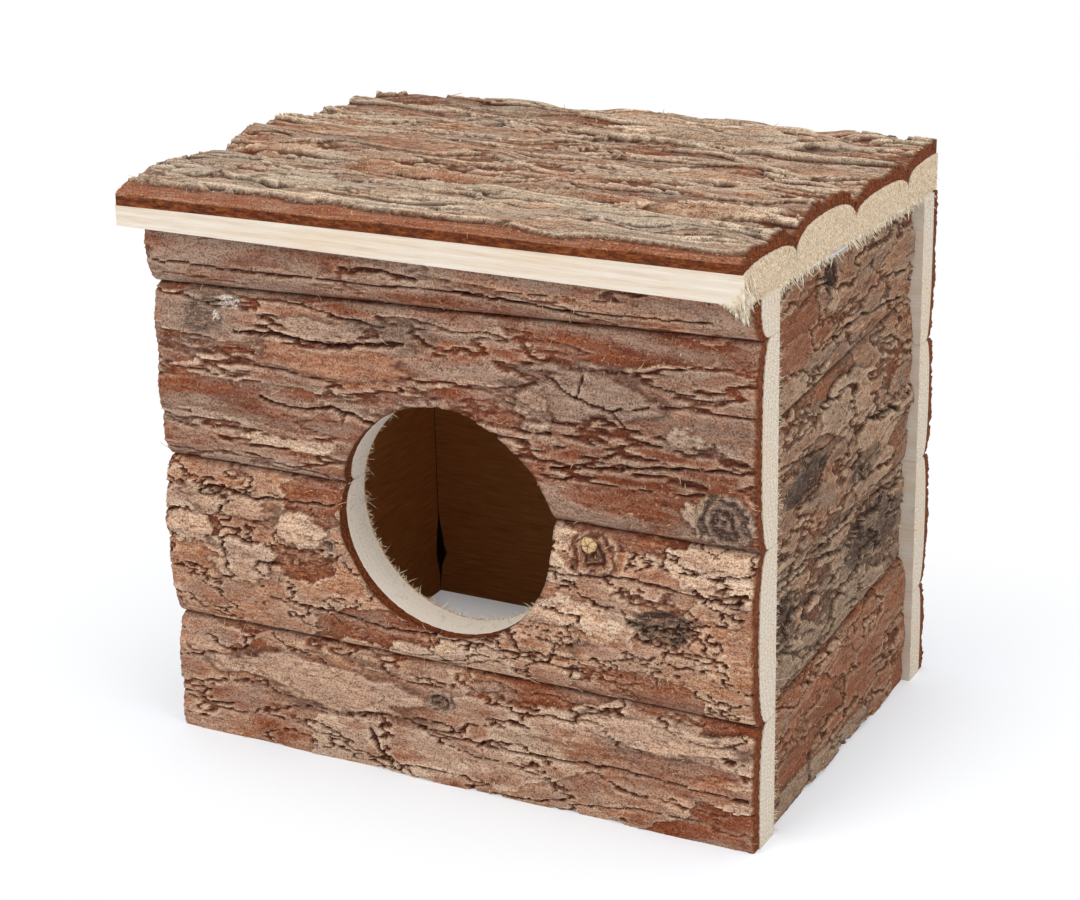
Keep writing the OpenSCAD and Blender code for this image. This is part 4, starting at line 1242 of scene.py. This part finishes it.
# The sheet glows for the camera, more inside the house: painted light for the light that falls in by the
# entrance.
painted_room_glow = add(tree, "MapRange", {
    "Value": past_room(tree, place), "From Min": -20 * MM, "From Max": 0.0,
    "To Min": 0.45, "To Max": 0.2,
})
lift = add(tree, "Math", {0: seen, 1: painted_room_glow}, operation="MULTIPLY")
glow = add(tree, "Emission", {"Color": "#ffffff", "Strength": lift})
lit = add(tree, "AddShader", {0: paper, 1: glow})
# Away from the house the sheet is an evenly white backdrop.
away = add(tree, "VectorMath", {0: place}, operation="ABSOLUTE")
away = add(tree, "VectorMath", {0: away, 1: (75 * MM, 50 * MM, 0)}, operation="SUBTRACT")
away = add(tree, "VectorMath", {0: away, 1: (0, 0, 0)}, operation="MAXIMUM")
away = add(tree, "VectorMath", {0: away}, operation="LENGTH")
far = add(tree, "MapRange", {"Value": away.outputs["Value"], "From Min": 0.0, "From Max": 0.08})
backdrop = add(tree, "Math", {0: far, 1: seen}, operation="MULTIPLY")
plain = add(tree, "Emission", {"Color": "#ffffff", "Strength": 1.0})
both = add(tree, "MixShader", {0: backdrop, 1: lit, 2: plain})
add(tree, "OutputMaterial", {0: both})
floor_mesh = bpy.data.meshes.new("floor")
reach = 3.0
floor_mesh.from_pydata([(-reach, -reach, 0), (reach, -reach, 0), (reach, reach, 0), (-reach, reach, 0)],
                       [], [(0, 1, 2, 3)])
floor = place_piece("floor", floor_mesh, floor_white)

world = bpy.data.worlds.new("studio")
bpy.context.scene.world = world
world.use_nodes = True
tree = world.node_tree
tree.nodes.clear()
soft = add(tree, "Background", {"Color": "#f8faff", "Strength": 0.6})
white = add(tree, "Background", {"Color": "#ffffff", "Strength": 1.0})
both = add(tree, "MixShader", {0: seen_directly(tree), 1: soft, 2: white})
add(tree, "OutputWorld", {0: both})


def lamp(name, spot, size, power, tint):
    """A soft square lamp at a spot, in metres, turned to the house."""
    light = bpy.data.lights.new(name, "AREA")
    light.shape = "SQUARE"
    light.size = size
    light.energy = power
    light.color = linear(tint)[:3]
    placed = place_piece(name, light)
    placed.location = spot
    placed.rotation_euler = (Vector((0, 0, 0.05)) - Vector(spot)).to_track_quat("-Z", "Y").to_euler()


lamp("key", (-0.3, -0.85, 0.8), 0.6, 6.5, "#fffdfa")
lamp("top", (0.1, 0.1, 1.1), 0.9, 4.5, "#ffffff")
lamp("fill", (0.9, -0.25, 0.45), 0.7, 4.0, "#fffdfa")

# The camera stands to the right of the front and looks down a little. Its place, turn and
# lens are fitted to the house's corners and entrance.
YAW, PITCH, ROLL = 0.493453834, 0.35476082, -0.022551147
ahead = Vector((-math.sin(YAW) * math.cos(PITCH), math.cos(YAW) * math.cos(PITCH), -math.sin(PITCH)))
level = Vector((math.cos(YAW), math.sin(YAW), 0))
upright = level.cross(ahead)
cam_x = math.cos(ROLL) * level + math.sin(ROLL) * upright
cam_y = -math.sin(ROLL) * level + math.cos(ROLL) * upright
camera_data = bpy.data.cameras.new("camera")
camera_data.sensor_width = 36
camera_data.sensor_fit = "HORIZONTAL"
camera_data.lens = 85.16
camera = place_piece("camera", camera_data)
camera.matrix_world = Matrix.Translation((0.26947, -0.50257, 0.27589)) @ Matrix(
    (cam_x, cam_y, -ahead)).transposed().to_4x4()
bpy.context.scene.camera = camera
bpy.context.scene.view_settings.view_transform = "Standard"
